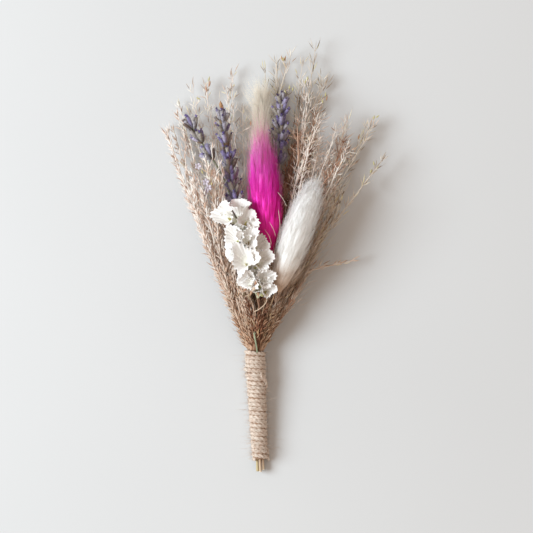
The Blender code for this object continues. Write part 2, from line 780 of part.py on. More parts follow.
def take_stems(room):
    """The room that the stems and the heads' cores take up."""
    for name, tail in TAILS.items():
        room.take(name + "_stem", *tail_stem(tail))
        room.take(name + "_head", *tail_core(tail))
    for name, lavender in LAVENDERS.items():
        room.take(name, *lavender_stem(lavender))
    for name, grass in GRASSES.items():
        for line, radii in grass_lines(grass):
            room.take(name, line, radii)
    take_statice(room)


def build():
    """Stems and cores come first, then what grows from them where there is room. The statice's
    cups meet in slivers so thin that only the MANIFOLD solver leaves one closed body."""
    room = Room()
    take_stems(room)
    build_binding()
    fused("statice_stem", [tube(*statice_stem(), 6)], "statice_green")
    spine = tube(*statice_spine(), 8)
    fused("statice_head", [spine, *statice_cups()], "statice_white", solver="MANIFOLD")
    for name, lavender in LAVENDERS.items():
        fused(name, [lavender_spray(room, name, lavender)], "lavender")
    for name, tail in TAILS.items():
        fused(name + "_stem", [tube(*tail_stem(tail), 6)], "stem")
        fused(name + "_head", [tail_head(room, name + "_head", tail)], name)
    for name, grass in GRASSES.items():
        fused(name, grass_spray(room, name, grass), "straw")


for old in list(bpy.data.objects):
    bpy.data.objects.remove(old)
build()
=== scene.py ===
import json
import math

import bpy
import numpy as np
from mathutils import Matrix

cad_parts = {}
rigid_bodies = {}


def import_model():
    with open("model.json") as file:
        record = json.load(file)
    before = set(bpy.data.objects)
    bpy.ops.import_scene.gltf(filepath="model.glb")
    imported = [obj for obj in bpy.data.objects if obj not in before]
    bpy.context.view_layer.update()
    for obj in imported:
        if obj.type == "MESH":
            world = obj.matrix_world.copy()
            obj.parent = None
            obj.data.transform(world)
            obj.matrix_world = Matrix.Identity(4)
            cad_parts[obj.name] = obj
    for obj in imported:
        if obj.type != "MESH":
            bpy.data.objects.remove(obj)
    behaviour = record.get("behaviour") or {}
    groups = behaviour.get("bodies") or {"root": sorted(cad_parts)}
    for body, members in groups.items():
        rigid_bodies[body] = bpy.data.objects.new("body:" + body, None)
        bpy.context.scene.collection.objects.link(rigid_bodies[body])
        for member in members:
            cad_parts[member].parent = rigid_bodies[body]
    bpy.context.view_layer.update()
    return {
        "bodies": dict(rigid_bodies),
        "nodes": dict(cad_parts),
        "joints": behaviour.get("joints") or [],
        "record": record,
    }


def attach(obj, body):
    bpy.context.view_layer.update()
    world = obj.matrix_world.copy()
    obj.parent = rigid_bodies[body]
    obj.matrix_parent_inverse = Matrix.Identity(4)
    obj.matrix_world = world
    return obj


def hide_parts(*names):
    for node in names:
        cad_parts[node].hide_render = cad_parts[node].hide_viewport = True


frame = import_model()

mm = 0.001
fullTurn = 2 * math.pi
white = (255, 255, 255)
print("the model is loaded as the frame")


# Lengths below are in millimetres, as in the model. Shapes are made as whole arrays.

def vec(*numbers):
    return np.array(numbers, float)


skyward = vec(0, 0, 1)
# how low the middle lines of thin things may run over the floor
lowest = dict(stalk=0.6, twine=0.5, spikelet=0.45, branch=0.35, hair=0.12, fibre=0.06)


def keepOff(points, kind):
    points[..., 2] = np.maximum(points[..., 2], lowest[kind])
    return points


def unit(v):
    # each vector divided by its length
    return v / np.maximum(np.linalg.norm(v, axis=-1, keepdims=True), 1e-9)


def squareTo(way, hint):
    # two unit vectors square to a way: the first to the hint too, and the second to the first
    side = unit(np.cross(way, hint))
    return side, np.cross(way, side)


def evenly(count):
    # even shares from 0 to 1, as a column
    return np.linspace(0, 1, count)[:, None]


def roundTurns(count):
    return fullTurn * np.arange(count) / count


def outAt(turn, side, over):
    # the way out at a turn: its cosine to the side and its sine over
    return np.cos(turn)[..., None] * side + np.sin(turn)[..., None] * over


def ringsOn(middle, way, side, over, height, radius, turn):
    # each ring's points: its middle, plus its height along the way, plus its radius out
    return middle + height[..., None] * way + radius[..., None] * outAt(turn, side, over)


def hermite(start, end, leave, arrive, t):
    # a cubic between two points: the four Hermite weights of t times start, leave, end and arrive
    return (start * (2 * t**3 - 3 * t**2 + 1) + leave * (t**3 - 2 * t**2 + t)
            + end * (3 * t**2 - 2 * t**3) + arrive * (t**3 - t**2))


def lengthsAlong(line):
    steps = np.linalg.norm(np.diff(line, axis=0), axis=1)
    return np.concatenate([[0.0], np.cumsum(steps)])


def lengthOf(line):
    return lengthsAlong(line)[-1]


def atLengths(line, lengths):
    # the points of a line at given lengths along it
    along = lengthsAlong(line)
    return np.stack([np.interp(lengths, along, line[:, k]) for k in range(3)], 1)


def evenPoints(line, count):
    return atLengths(line, np.linspace(0, lengthOf(line), count))


def smoothThrough(points, step):
    # a curve through points: between two of them a cubic whose ways at both ends are those of
    # the chord between their neighbours, read at even steps
    points = np.asarray(points, float)
    along = lengthsAlong(points)
    ways = np.gradient(points, along, axis=0)
    spans = np.diff(along)[:, None]
    cubics = hermite(points[:-1, None], points[1:, None], (ways[:-1] * spans)[:, None],
                     (ways[1:] * spans)[:, None], evenly(9)[:-1])
    line = np.vstack([cubics.reshape(-1, 3), points[-1:]])
    return evenPoints(line, max(4, int(round(lengthOf(line) / step)) + 1))


def wander(rng, places, size, waves, longest):
    # a smooth random curve: a sum of sines, each 1.7 times shorter and 1.4 times lower than the
    # one before
    total = np.zeros(np.shape(places))
    for i in range(waves):
        total += np.sin(fullTurn * places / longest * 1.7**i + rng.uniform(0, 6.28)) / 1.4**i
    return size * total / 2


def intoScene(name, data):
    obj = bpy.data.objects.new(name, data)
    bpy.context.scene.collection.objects.link(obj)
    return obj


class Pile:
    # shapes gathered for one mesh. Each point is marked with how far along its strand it lies,
    # how far round, its tint, and its strand's chance, a number that is the strand's own
    def __init__(self, seed):
        self.rng = np.random.default_rng(seed)
        self.parts = []
        self.count = 0

    def ringed(self, rings, first, last, along, tint=0.5, chance=None):
        # closed skins over rings (n, s, k, 3), each with one more point at both ends (n, 3). The
        # tint is one number, one for each skin, or a row with one for each ring
        n, s, k = rings.shape[:3]
        ring = np.arange(k)
        after = (ring + 1) % k
        low = 1 + k * np.arange(s - 1)[:, None]
        top = 1 + k * (s - 1)
        quads = np.stack([low + ring, low + after, low + k + after, low + k + ring], -1)
        tris = np.concatenate([np.stack([0 * ring, 1 + after, 1 + ring], -1),
                               np.stack([0 * ring + top + k, top + ring, top + after], -1)])
        seam = np.zeros((s - 1, k, 4))
        seam[:, -1, 1:3] = 1
        marks = np.zeros((n, s * k + 2, 4))
        marks[:, 1:-1, 1] = np.tile(ring / k, s)
        tint = np.asarray(tint, float)
        tint = tint if tint.ndim == 2 else tint.reshape(-1, 1)
        for column, mark in ((0, along), (2, tint)):
            marks[:, 1:-1, column] = np.repeat(np.broadcast_to(mark, (n, s)), k, axis=1)
            marks[:, [0, -1], column] = marks[:, [1, -2], column]
        chance = self.rng.random(n) if chance is None else np.asarray(chance, float)
        marks[:, :, 3] = chance.reshape(-1, 1)
        starts = self.count + (s * k + 2) * np.arange(n)[:, None, None]
        points = np.concatenate([first[:, None], rings.reshape(n, s * k, 3), last[:, None]], 1)
        self.parts.append((points.reshape(-1, 3) * mm, marks.reshape(-1, 4),
                           (starts + quads.reshape(1, -1, 4)).reshape(-1, 4),
                           np.tile(seam.reshape(-1, 4), (n, 1)),
                           (starts + tris).reshape(-1, 3)))
        self.count += n * (s * k + 2)

    def strands(self, lines, radii, sides, tint=0.5, chance=None, flat=1.0, facing=None, ways=None,
                along=None):
        # lines (n, s, 3) with rings round all but their end points: a ring's point is the line's
        # point plus its radius times the cosine of a turn across it and the sine over it
        n, s = lines.shape[:2]
        way = unit(np.gradient(lines, axis=1) if ways is None else ways)
        if facing is None:
            facing = np.cross(unit(way.mean(1)), vec(0.36, 0.48, 0.8))[:, None]
        across = unit(np.cross(facing, way))
        over = np.cross(way, across) * flat
        radii = np.broadcast_to(radii, (n, s - 2))[:, :, None, None]
        rings = lines[:, 1:-1, None] + radii * outAt(
            roundTurns(sides), across[:, 1:-1, None], over[:, 1:-1, None])
        along = np.linspace(0, 1, s)[1:-1] if along is None else along
        self.ringed(rings, lines[:, 0], lines[:, -1], along, tint, chance)

    def piece(self, name, finish, slotName, *nodes):
        # the mesh, in metres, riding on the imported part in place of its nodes
        points, marks, quads, seams, tris = map(np.concatenate, zip(*self.parts))
        corners = np.concatenate([quads.ravel(), tris.ravel()])
        around = marks[corners, 1]
        around[:quads.size] += seams.ravel()
        starts = np.concatenate([4 * np.arange(len(quads)), quads.size + 3 * np.arange(len(tris))])
        mesh = bpy.data.meshes.new(name)
        for items, values, key in ((mesh.vertices, points, "co"), (mesh.loops, corners, "vertex_index"),
                                   (mesh.polygons, starts, "loop_start")):
            items.add(len(values))
            items.foreach_set(key, values.ravel())
        layer = mesh.uv_layers.new(name="strand")
        layer.data.foreach_set("uv", np.stack([marks[corners, 0], around], 1).ravel())
        for column, mark in ((2, "tint"), (3, "chance")):
            attribute = mesh.attributes.new(mark, "FLOAT", "POINT")
            attribute.data.foreach_set("value", marks[:, column].copy())
        mesh.update(calc_edges=True)
        mesh.shade_smooth()
        mesh.materials.append(finish.material)
        obj = intoScene(name, mesh)
        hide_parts(*nodes)
        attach(obj, "root")
        print(f"{name}: {2 * len(quads) + len(tris)} triangles")


# Materials

def srgb(*colour):
    # a screen colour as the linear one that nodes take
    c = np.array(colour) / 255
    return (*np.where(c < 0.04045, c / 12.92, ((c + 0.055) / 1.055) ** 2.4), 1.0)


class Finish:
    # a material, with short ways to add the nodes that feed its shader
    def __init__(self, name, roughness, specular=0.3, sheen=0.0, sheenTint=(1, 1, 1, 1)):
        self.material = bpy.data.materials.new(name)
        self.material.use_nodes = True
        self.nodes = self.material.node_tree.nodes
        self.shader = self.nodes["Principled BSDF"]
        for socket, value in (("Roughness", roughness), ("Specular IOR Level", specular),
                              ("Sheen Weight", sheen), ("Sheen Tint", sheenTint)):
            self.feed(self.shader, socket, value)

    def feed(self, node, socket, value):
        if isinstance(value, bpy.types.NodeSocket):
            self.material.node_tree.links.new(value, node.inputs[socket])
        else:
            node.inputs[socket].default_value = value

    def add(self, kind, **sockets):
        node = self.nodes.new(kind)
        for socket, value in sockets.items():
            self.feed(node, socket, value)
        return node

    def mark(self, name):
        node = self.add("ShaderNodeAttribute")
        node.attribute_name = name
        return node.outputs["Fac"]

    def place(self):
        return self.add("ShaderNodeTexCoord").outputs["Object"]

    def strand(self, alongScale=1.0, aroundScale=1.0):
        # the strand's own map, stretched
        node = self.add("ShaderNodeUVMap")
        node.uv_map = "strand"
        return self.add("ShaderNodeMapping", Vector=node.outputs["UV"],
                        Scale=(alongScale, aroundScale, 1)).outputs["Vector"]

    def alongStrand(self):
        return self.add("ShaderNodeSeparateXYZ", Vector=self.strand()).outputs["X"]

    def noise(self, where, scale, detail):
        return self.add("ShaderNodeTexNoise", Vector=where, Scale=scale, Detail=detail).outputs["Fac"]

    def grain(self, size, detail=3.0):
        # a noise all over the piece, whose grains are size millimetres apart
        return self.noise(self.place(), 1000 / size, detail)

    def streaks(self, alongScale, aroundScale, detail=3.0):
        # a noise that follows the strands
        return self.noise(self.strand(alongScale, aroundScale), 1.0, detail)

    def spread(self, value, low, high, to=(0.0, 1.0)):
        node = self.add("ShaderNodeMapRange", Value=value)
        for socket, number in (("From Min", low), ("From Max", high), ("To Min", to[0]),
                               ("To Max", to[1])):
            self.feed(node, socket, number)
        return node.outputs["Result"]

    def ramp(self, factor, *stops):
        # each stop is a place and a screen colour
        node = self.add("ShaderNodeValToRGB", Fac=factor)
        elements = node.color_ramp.elements
        for place, *colour in stops[1:-1]:
            elements.new(place).color = srgb(*colour)
        for element, (place, *colour) in ((elements[0], stops[0]), (elements[-1], stops[-1])):
            element.position, element.color = place, srgb(*colour)
        return node.outputs["Color"]

    def mix(self, factor, a, b, how="MIX"):
        node = self.add("ShaderNodeMix")
        node.data_type = "RGBA"
        node.blend_type = how
        for place, value in ((0, factor), (6, a), (7, b)):
            self.feed(node, place, value)
        return node.outputs[2]

    def passing(self, value, low, high, a, b):
        # a where the value is under low, and b where it is over high
        return self.mix(self.spread(value, low, high), a, b)

    def times(self, colour, *others):
        for other in others:
            colour = self.mix(1.0, colour, other, "MULTIPLY")
        return colour

    def colour(self, value):
        self.feed(self.shader, "Base Color", value)

    def bump(self, height, depth, strength=1.0):
        node = self.add("ShaderNodeBump", Height=height, Distance=depth * mm, Strength=strength)
        self.feed(self.shader, "Normal", node.outputs["Normal"])


# The camera looks straight down, with the photograph's field of 234.5 mm at half the height of
# the flowers. The light is a soft window from the left.

view = dict(middle=vec(3.1, 80.7), width=234.5, height=1600.0, at=12.0, sensor=36.0)
lamp = dict(towards=vec(0, 70, 0), azimuth=176.0, elevation=41.0, away=1500.0, size=930.0,
            watts=27.5, colour=(0.815, 0.925, 1.0))
room = dict(colour=(1.0, 0.845, 0.725), strength=0.50)


def placeCamera():
    data = bpy.data.cameras.new("camera")
    data.sensor_width = view["sensor"]
    data.lens = view["sensor"] * (view["height"] - view["at"]) / view["width"]
    data.clip_end = 10.0
    camera = intoScene("camera", data)
    camera.location = (*view["middle"] * mm, view["height"] * mm)
    bpy.context.scene.camera = camera


def placeLight():
    # the lamp stands at its distance, at its azimuth from +X and its elevation from the floor
    azimuth, elevation = math.radians(lamp["azimuth"]), math.radians(lamp["elevation"])
    way = vec(math.cos(azimuth) * math.cos(elevation), math.sin(azimuth) * math.cos(elevation),
              math.sin(elevation))
    data = bpy.data.lights.new("window", "AREA")
    data.shape = "DISK"
    data.size = lamp["size"] * mm
    data.energy = lamp["watts"]
    data.color = lamp["colour"]
    light = intoScene("window", data)
    light.location = (lamp["towards"] + way * lamp["away"]) * mm
    light.rotation_euler = (math.pi / 2 - elevation, 0, azimuth + math.pi / 2)
    world = bpy.data.worlds.new("room")
    world.use_nodes = True
    background = world.node_tree.nodes["Background"]
    background.inputs["Color"].default_value = (*room["colour"], 1)
    background.inputs["Strength"].default_value = room["strength"]
    bpy.context.scene.world = world
    bpy.context.scene.view_settings.view_transform = "Standard"


def layFloor():
    # one flat square, a metre and a half each way from the bunch
    half = 1.5
    mesh = bpy.data.meshes.new("floor")
    mesh.from_pydata([(-half, -half, 0), (half, -half, 0), (half, half, 0), (-half, half, 0)], [],
                     [(0, 1, 2, 3)])
    finish = Finish("paper", roughness=0.9, specular=0.1)
    finish.colour(finish.ramp(finish.grain(180, detail=2), (0.3, 216, 216, 216), (0.7, 219, 219, 219)))
    mesh.materials.append(finish.material)
    floor = intoScene("floor", mesh)


placeCamera()
placeLight()
layFloor()
print("the camera, light and floor are in place")


# The bundle. Its middle leans and rises, and each stem has a slot in it: 0 is the middle, 1 to 6
# are round it and 7 to 18 round those, anticlockwise from the right.

bundle = dict(height=3.25, rise=0.07, lean=-0.047, inner=1.44, outer=2.66, high=43.6,
              stalkFoot=28.0, narrowTo=14.0, stemTurn=0.65, forkTurn=0.4)


def handleMiddle(y):
    return np.stack([bundle["lean"] * y, y, bundle["height"] + bundle["rise"] * y], -1)


def roundHandle(y, degrees, radius):
    # a point at an angle and a distance from the handle's middle: 0 is right, and 90 is up
    turn = math.radians(degrees)
    return handleMiddle(y) + vec(math.cos(turn), 0, math.sin(turn)) * radius


def slotPlace(slot):
    if slot == 0:
        return 0.0, 0.0
    if slot <= 6:
        return 60.0 * slot - 30.0, bundle["inner"]
    return 30.0 * (slot - 7) + 15.0, bundle["outer"]


def inSlot(slot, y):
    return roundHandle(y, *slotPlace(slot))


def boundPart(stem):
    # a flower's stem in the binding: in its lower slot from the cut end, then round to its upper
    foot, mouth = stem["foot"], stem["mouth"]
    turn, ring = np.mean([slotPlace(foot), slotPlace(mouth)], axis=0)
    half = roundHandle((bundle["narrowTo"] + bundle["stalkFoot"]) / 2, turn, ring)
    return [inSlot(foot, stem["cut"]), inSlot(foot, bundle["narrowTo"]), half,
            inSlot(mouth, bundle["stalkFoot"])]


def curveTo(start, end, first, arrive, turn, count):
    # a cubic that leaves along the first way, turned by a share towards its end
    across = end - start
    far = np.linalg.norm(across)
    leave = first * far * (1 - turn) + across * turn
    return hermite(start, end, leave, across if arrive is None else arrive * far, evenly(count + 1))


def freePart(slot, end, arrive=None, bow=(0, 0, 0), count=24, start=None):
    # from the mouth of the binding in one cubic to the stem's end, bowed by a sine
    mouth = inSlot(slot, bundle["high"]) if start is None else start
    handleWay = unit(handleMiddle(1.0) - handleMiddle(0.0))
    line = curveTo(mouth, end, handleWay, arrive, bundle["stemTurn"], count)
    return line + np.sin(math.pi * evenly(count + 1)) * vec(*bow)


def forkOf(line, share, tip, count=16):
    # from a share of a stalk in a cubic to the fork's tip, first along the stalk
    at = share * lengthOf(line)
    start, after = atLengths(line, vec(at, at + 0.5))
    return curveTo(start, tip, unit(after - start), None, bundle["forkTurn"], count)


# What lies on top of the grasses and is kept free of them: from, to, how wide, and whether it is
# also free above

onTop = [
    (vec(3.4, 85.0, 15.4), vec(1.2, 132.0, 19.8), 6.4, True),
    (vec(8.2, 69.0, 19.4), vec(21.8, 112.0, 25.2), 6.6, True),
    (vec(0.5, 113.0, 7.4), vec(-0.5, 158.0, 9.2), 4.6, False),
    (vec(-0.6, 67.0, 25.0), vec(-9.4, 104.0, 26.5), 7.0, True),
    (vec(-9.4, 104.0, 14.5), vec(-17.6, 153.0, 14.5), 3.0, True),
    (vec(8.4, 124.0, 12.0), vec(10.2, 158.0, 13.5), 2.6, True),
    (vec(-19.0, 125.0, 10.0), vec(-33.2, 148.0, 13.0), 2.4, True),
]


def awayFromHeads(points, wider=0.0):
    # how deep each point lies in a head, and the way out of it: the depth is the head's radius
    # less the distance to its middle line, whose height isn't counted above a head that is free
    depth = np.zeros(len(points))
    out = np.zeros(points.shape)
    for low, high, radius, free in onTop:
        along = high - low
        t = np.clip((points - low) @ along / (along @ along), 0, 1)[:, None]
        off = points - (low + along * t)
        if free:
            off[:, 2] = np.minimum(off[:, 2], 0)
        inside = radius + wider - np.linalg.norm(off, axis=1)
        deeper = inside > depth
        depth = np.where(deeper, inside, depth)
        out = np.where(deeper[:, None], unit(off - skyward * 1e-3), out)
    return depth, out


def clearLine(line):
    # a line pushed out of the heads and smoothed, with its two ends kept, and above the floor
    for _ in range(4):
        depth, out = awayFromHeads(line)
        line = line + out * depth[:, None] * np.minimum(1, np.arange(len(line)) / 4)[:, None]
        line[1:-1] = (line[:-2] + 2 * line[1:-1] + line[2:]) / 4
    return keepOff(line, "stalk")


def growth(line, lengths, lean, roll, flatten=1.0):
    # places along a line, and the ways of shoots there: the line's way times the cosine of the
    # lean, plus a way out from it, at a roll round it, times the sine
    place = atLengths(line, lengths)
    way = unit(atLengths(line, lengths + 0.4) - atLengths(line, lengths - 0.4))
    side = unit(np.cross(way, skyward))
    out = unit(outAt(roll, side, np.cross(side, way) * flatten))
    lean = np.broadcast_to(lean, lengths.shape)[:, None]
    return place, way * np.cos(lean) + out * np.sin(lean), way, out


# Hare's-tail heads: a full soft body in streaky tufts, and thousands of fine hairs that grow from
# it. The hairs lean out and turn back to the tip, and stick together in tufts. A head's shape is
# the share of its body's radius at each of tailShares, and its lean in radians is that at its
# foot, at a fifth of it and at its tip.

tailShares = (0.0, 0.10, 0.30, 0.55, 0.80, 0.94, 1.0)
leanShares = (0.0, 0.22, 1.0)
tails = {
    "pink": dict(
        base=vec(4.6, 84.5, 15.6), tip=vec(1.2, 131.0, 19.6), body=5.9, mouth=9, foot=2, cut=-10.1,
        shape=(0.16, 0.50, 0.92, 1.0, 0.84, 0.42, 0.05), tufted=0.07, hairs=6200, length=9.5,
        lean=vec(0.32, 0.20, 0.03), thick=0.045, tufts=330, together=0.72, awns=700,
        awnLength=13.5, tipLonger=0.55, crowd=1.30, seed=11,
    ),
    "white": dict(
        base=vec(7.2, 70.0, 19.6), tip=vec(23.4, 114.2, 25.2), body=5.9, mouth=8, foot=1, cut=-9.2,
        shape=(0.34, 0.68, 0.95, 1.0, 0.86, 0.54, 0.08), tufted=0.035, hairs=3700, length=7.8,
        lean=vec(0.42, 0.17, 0.06), thick=0.038, tufts=300, together=0.3, awns=1500,
        awnLength=12.5, tipLonger=-0.35, crowd=1.35, seed=12,
    ),
    "cream": dict(
        base=vec(0.5, 114.0, 7.4), tip=vec(0.9, 155.0, 9.0), body=1.7, mouth=0, foot=0, cut=-8.0,
        shape=(0.30, 0.74, 0.95, 0.92, 0.66, 0.34, 0.05), tufted=0.05, hairs=3200, length=10.0,
        lean=vec(1.05, 0.74, 0.45), thick=0.034, tufts=120, together=0.1, awns=1300,
        awnLength=13.0, tipLonger=0.15, crowd=1.2, seed=13,
    ),
}
stemRadius = 0.56


def pinkHair():
    # magenta, darker at the head's base and at each hair's root as painted shade, fading to pale fawn
    # at the head's tip
    finish = Finish("pink_hair", roughness=0.55, sheen=0.1, sheenTint=(1.0, 0.5, 0.8, 1))
    # along the head: the darker lowest stops are painted shade at the head's base
    headwise = finish.ramp(
        finish.mark("tint"), (0.0, 212, 0, 96), (0.20, 242, 0, 144), (0.42, 255, 12, 190),
        (0.66, 255, 64, 214), (0.86, 254, 140, 218), (1.0, 242, 202, 196))
    chance = finish.mark("chance")
    # painted shade: each hair is darker at its root, deep in the fur
    roots = finish.ramp(finish.alongStrand(), (0.0, 214, 110, 180), (0.45, *white))
    tufts = finish.ramp(chance, (0.0, 222, 80, 170), (0.40, *white))
    finish.colour(finish.mix(finish.spread(chance, 0.52, 0.95, (0.0, 0.45)),
                             finish.times(headwise, roots, tufts), srgb(255, 120, 214)))
    return finish


def paleHair(name, base, middle, tip):
    # bleached or natural hair, a little yellow at the head's base as its own colour, and darker there
    # as painted shade where its base colour is darker; each hair is darker at its root, as painted
    # shade
    finish = Finish(name, roughness=0.55, sheen=0.1)
    headwise = finish.ramp(finish.mark("tint"), (0.0, *base), (0.3, *middle), (1.0, *tip))
    # painted shade: each hair is darker at its root, deep in the fur
    roots = finish.ramp(finish.alongStrand(), (0.0, 244, 236, 226), (0.5, *white))
    tufts = finish.ramp(finish.mark("chance"), (0.0, 247, 243, 240), (0.5, *white))
    finish.colour(finish.times(headwise, roots, tufts))
    return finish


def headFrame(tail):
    # a head's length and way, and two ways square to it
    along = tail["tip"] - tail["base"]
    axis = unit(along)
    side = unit(np.cross(axis, skyward))
    return np.linalg.norm(along), axis, side, np.cross(side, axis)


def tuftedHairs(pile, tail, count, length, lean, together, thick, crowd):
    # each hair is a curve of three points, from the core out along its lean and back towards the
    # tip, whose last point is drawn towards the last point of its tuft's middle hair. A crowd
    # over 1 sets more of them near the foot, and near the tip they grow longer or shorter
    rng = pile.rng
    headLength, axis, side, over = headFrame(tail)
    rooted, backwards = 0.93, 0.62

    def ends(share, angle, length):
        radius = tail["body"] * np.interp(share, tailShares, tail["shape"])
        out = outAt(angle, side, over)
        root = tail["base"] + axis * (share * headLength)[:, None] + out * radius[:, None] * rooted
        leaning = np.interp(share, leanShares, lean)[:, None]
        middle = root + length * 0.5 * (axis * np.cos(leaning) + out * np.sin(leaning))
        leaning = leaning * backwards
        return root, middle, root + length * (axis * np.cos(leaning) + out * np.sin(leaning))

    share = rng.random(count)**crowd
    angle = rng.uniform(0, fullTurn, count)
    reach = length * rng.uniform(0.72, 1.1, count) * (1 + tail["tipLonger"] * share**4)
    root, middle, end = ends(share, angle, reach[:, None])
    tufts = tail["tufts"]
    tuftShare, tuftAngle = rng.random(tufts), rng.uniform(0, fullTurn, tufts)
    tuftReach = length * rng.uniform(0.9, 1.12, tufts)[:, None]
    tuftRoot, _, tuftEnd = ends(tuftShare, tuftAngle, tuftReach)
    nearest = ((root[:, None] - tuftRoot)**2).sum(2).argmin(1)
    pull = together * rng.uniform(0.5, 1.2, count)[:, None]
    end = end + (tuftEnd[nearest] - end) * pull
    middle = middle + (tuftEnd[nearest] - end) * pull * 0.12
    end += rng.normal(0, 0.25, end.shape) * (1 + 3 * share**3)[:, None]
    t = vec(0.0, 0.36, 0.72, 1.0)[:, None]
    lines = root[:, None] * (1 - t)**2 + middle[:, None] * 2 * t * (1 - t) + end[:, None] * t**2
    tuftChance = rng.random(tufts)[nearest]
    radii = thick * rng.uniform(0.8, 1.2, count)[:, None] * vec(1.0, 0.62)
    pile.strands(keepOff(lines, "hair"), radii, 3,
                 tint=np.clip(share + rng.normal(0, 0.03, count), 0, 1),
                 chance=np.clip(tuftChance * 0.7 + rng.random(count) * 0.3, 0, 1))


def tailHead(pile, tail):
    # the body: rings along the head whose radius rises and falls with the angle and, more
    # slowly, with the length, as long tufts do. Then its hairs, and longer and finer awns
    rng = pile.rng
    length, axis, side, over = headFrame(tail)
    shares = evenly(58)
    angle = roundTurns(72)
    ridges = 0
    for waves in (5, 8, 13, 21, 30):
        turned = waves * angle + rng.uniform(1.5, 3.5) * math.sin(waves) * shares * 4
        ridges = ridges + np.sin(turned + rng.uniform(0, 6)) * np.sin(
            shares * rng.uniform(9, 22) + rng.uniform(0, 6)) / 2.2
    radius = tail["body"] * np.interp(shares, tailShares, tail["shape"]) * (
        1 + tail["tufted"] * ridges * np.sin(math.pi * shares)**0.5)
    rings = ringsOn(tail["base"], axis, side, over, length * shares, radius, angle)
    pile.ringed(rings[None], (tail["base"] - axis * 0.4)[None], (tail["tip"] + axis * 0.6)[None],
                0.75, tint=shares.T, chance=0.6)
    tuftedHairs(pile, tail, tail["hairs"], tail["length"], tail["lean"], tail["together"],
                tail["thick"], tail["crowd"])
    tuftedHairs(pile, tail, tail["awns"], tail["awnLength"], tail["lean"] * 2.2, 0.0,
                tail["thick"] * 0.8, 1.0)


def dryStemFinish():
    # a dry stem with lengthwise streaks, and pale pith where it is cut
    finish = Finish("dry_stem", roughness=0.65)
    streaks = finish.streaks(3.0, 8.0, detail=4)
    stem = finish.ramp(streaks, (0.3, 132, 100, 74), (0.5, 172, 138, 108), (0.7, 206, 178, 148))
    pith = finish.ramp(finish.alongStrand(), (0.010, *white), (0.016, 170, 170, 170), (0.09, 0, 0, 0))
    finish.colour(finish.mix(pith, stem, srgb(250, 232, 204)))
    finish.bump(streaks, 0.05)
    return finish


def roundStem(pile, line, radius, sides=10, tint=0.5, chance=None, tip=0.55, knots=0.0):
    # a stem along a line. Its cut end is a rim round a shallow hollow: the first rings go back
    # out from the hollow's middle to the rim, and the rest run on along the stem
    way = unit(np.gradient(line, axis=0))
    first = way[0]
    hollow = line[0] + first * vec(0.5, 0.42, 0.12, 0.02, 0.1)[:, None]
    points = np.vstack([hollow, line[1:], line[-1] + way[-1] * 0.1])
    ways = np.vstack([np.tile(first, (5, 1)), way[1:], way[-1:]])
    shares = np.linspace(0, 1, len(line))
    body = radius * (1 - (1 - tip) * shares**2)
    body = body * (1 + knots * wander(pile.rng, shares, 1.0, 4, 0.25))
    radii = np.concatenate([radius * vec(0.45, 0.62, 0.86), body])
    along = np.concatenate([[0, 0, 0], 0.01 + 0.99 * shares])
    pile.strands(points[None], radii[None], sides, tint, chance, ways=ways[None],
                 facing=skyward, along=along)


def tailStem(tail):
    way = unit(tail["tip"] - tail["base"])
    free = freePart(tail["mouth"], tail["base"] + way * 1.2, way)
    return smoothThrough([*boundPart(tail), *free[::3]], 1.2)


hairFinishes = {
    "pink": pinkHair(),
    # the white head's base colour is its own yellow, darkened as painted shade low on the head
    "white": paleHair("white_hair", (200, 162, 128), (246, 243, 239), (255, 254, 253)),
    "cream": paleHair("cream_hair", (253, 230, 206), (255, 242, 223), (255, 247, 233)),
}
dryStem = dryStemFinish()
for name, tail in tails.items():
    hair = Pile(tail["seed"])
    tailHead(hair, tail)
    hair.piece(f"{name}_tail_hair", hairFinishes[name], f"{name}_tail", f"{name}_tail_head")
    stem = Pile(tail["seed"])
    roundStem(stem, tailStem(tail), stemRadius, knots=0.04)
    stem.piece(f"{name}_tail_stalk", dryStem, "stem", f"{name}_tail_stem")
print("the hare's-tail heads are made")


# Statice: papery cups with waved and toothed rims, on short branches of one green stem. A cup is
# the middle of its rim, the way it faces and its radius, and more are set between them at random.

statice = dict(
    mouth=10, foot=3, cut=-9.9, seed=51,
    spine=np.array([(-0.6, 65.8, 20.0), (-4.4, 80.5, 22.4), (-8.4, 98.5, 22.0)]),
    cups=[
        ((-16.0, 103.8, 24.5), (-0.45, 0.25, 0.86), 5.4),
        ((-9.0, 108.4, 25.0), (-0.05, 0.90, 0.42), 4.8),
        ((-4.6, 101.5, 26.6), (0.22, 0.42, 0.88), 4.8),
        ((-11.4, 94.0, 28.0), (-0.50, 0.05, 0.86), 5.0),
        ((-4.6, 93.6, 30.0), (0.05, 0.20, 0.98), 4.8),
        ((0.4, 91.0, 26.6), (0.30, 0.30, 0.90), 4.2),
        ((-13.0, 87.5, 26.0), (-0.85, -0.10, 0.50), 4.2),
        ((-6.6, 84.6, 30.6), (-0.15, -0.05, 0.98), 6.2),
        ((1.6, 84.0, 29.0), (0.22, 0.05, 0.97), 5.0),
        ((-5.0, 74.5, 27.6), (-0.35, -0.35, 0.87), 4.6),
        ((3.2, 75.6, 28.6), (0.30, -0.10, 0.95), 4.4),
        ((4.2, 70.6, 27.0), (0.20, -0.40, 0.89), 3.6),
    ],
    between=9, betweenOut=(4.5, 6.5), betweenRadius=(2.4, 3.6),
    corollaShare=(0.26, 0.36), corollaDeep=2.4,
    stalk=0.62, shootStalk=0.36, branchShare=0.55, branchStalk=(0.42, 0.30),
    shoot=[(-0.9, 42.0, 9.6), (-1.3, 45.5, 12.2), (-1.9, 49.0, 14.2), (-2.4, 52.0, 15.2)],
    scales=5, scaleFrom=0.30, scaleLength=(2.4, 4.6),
)
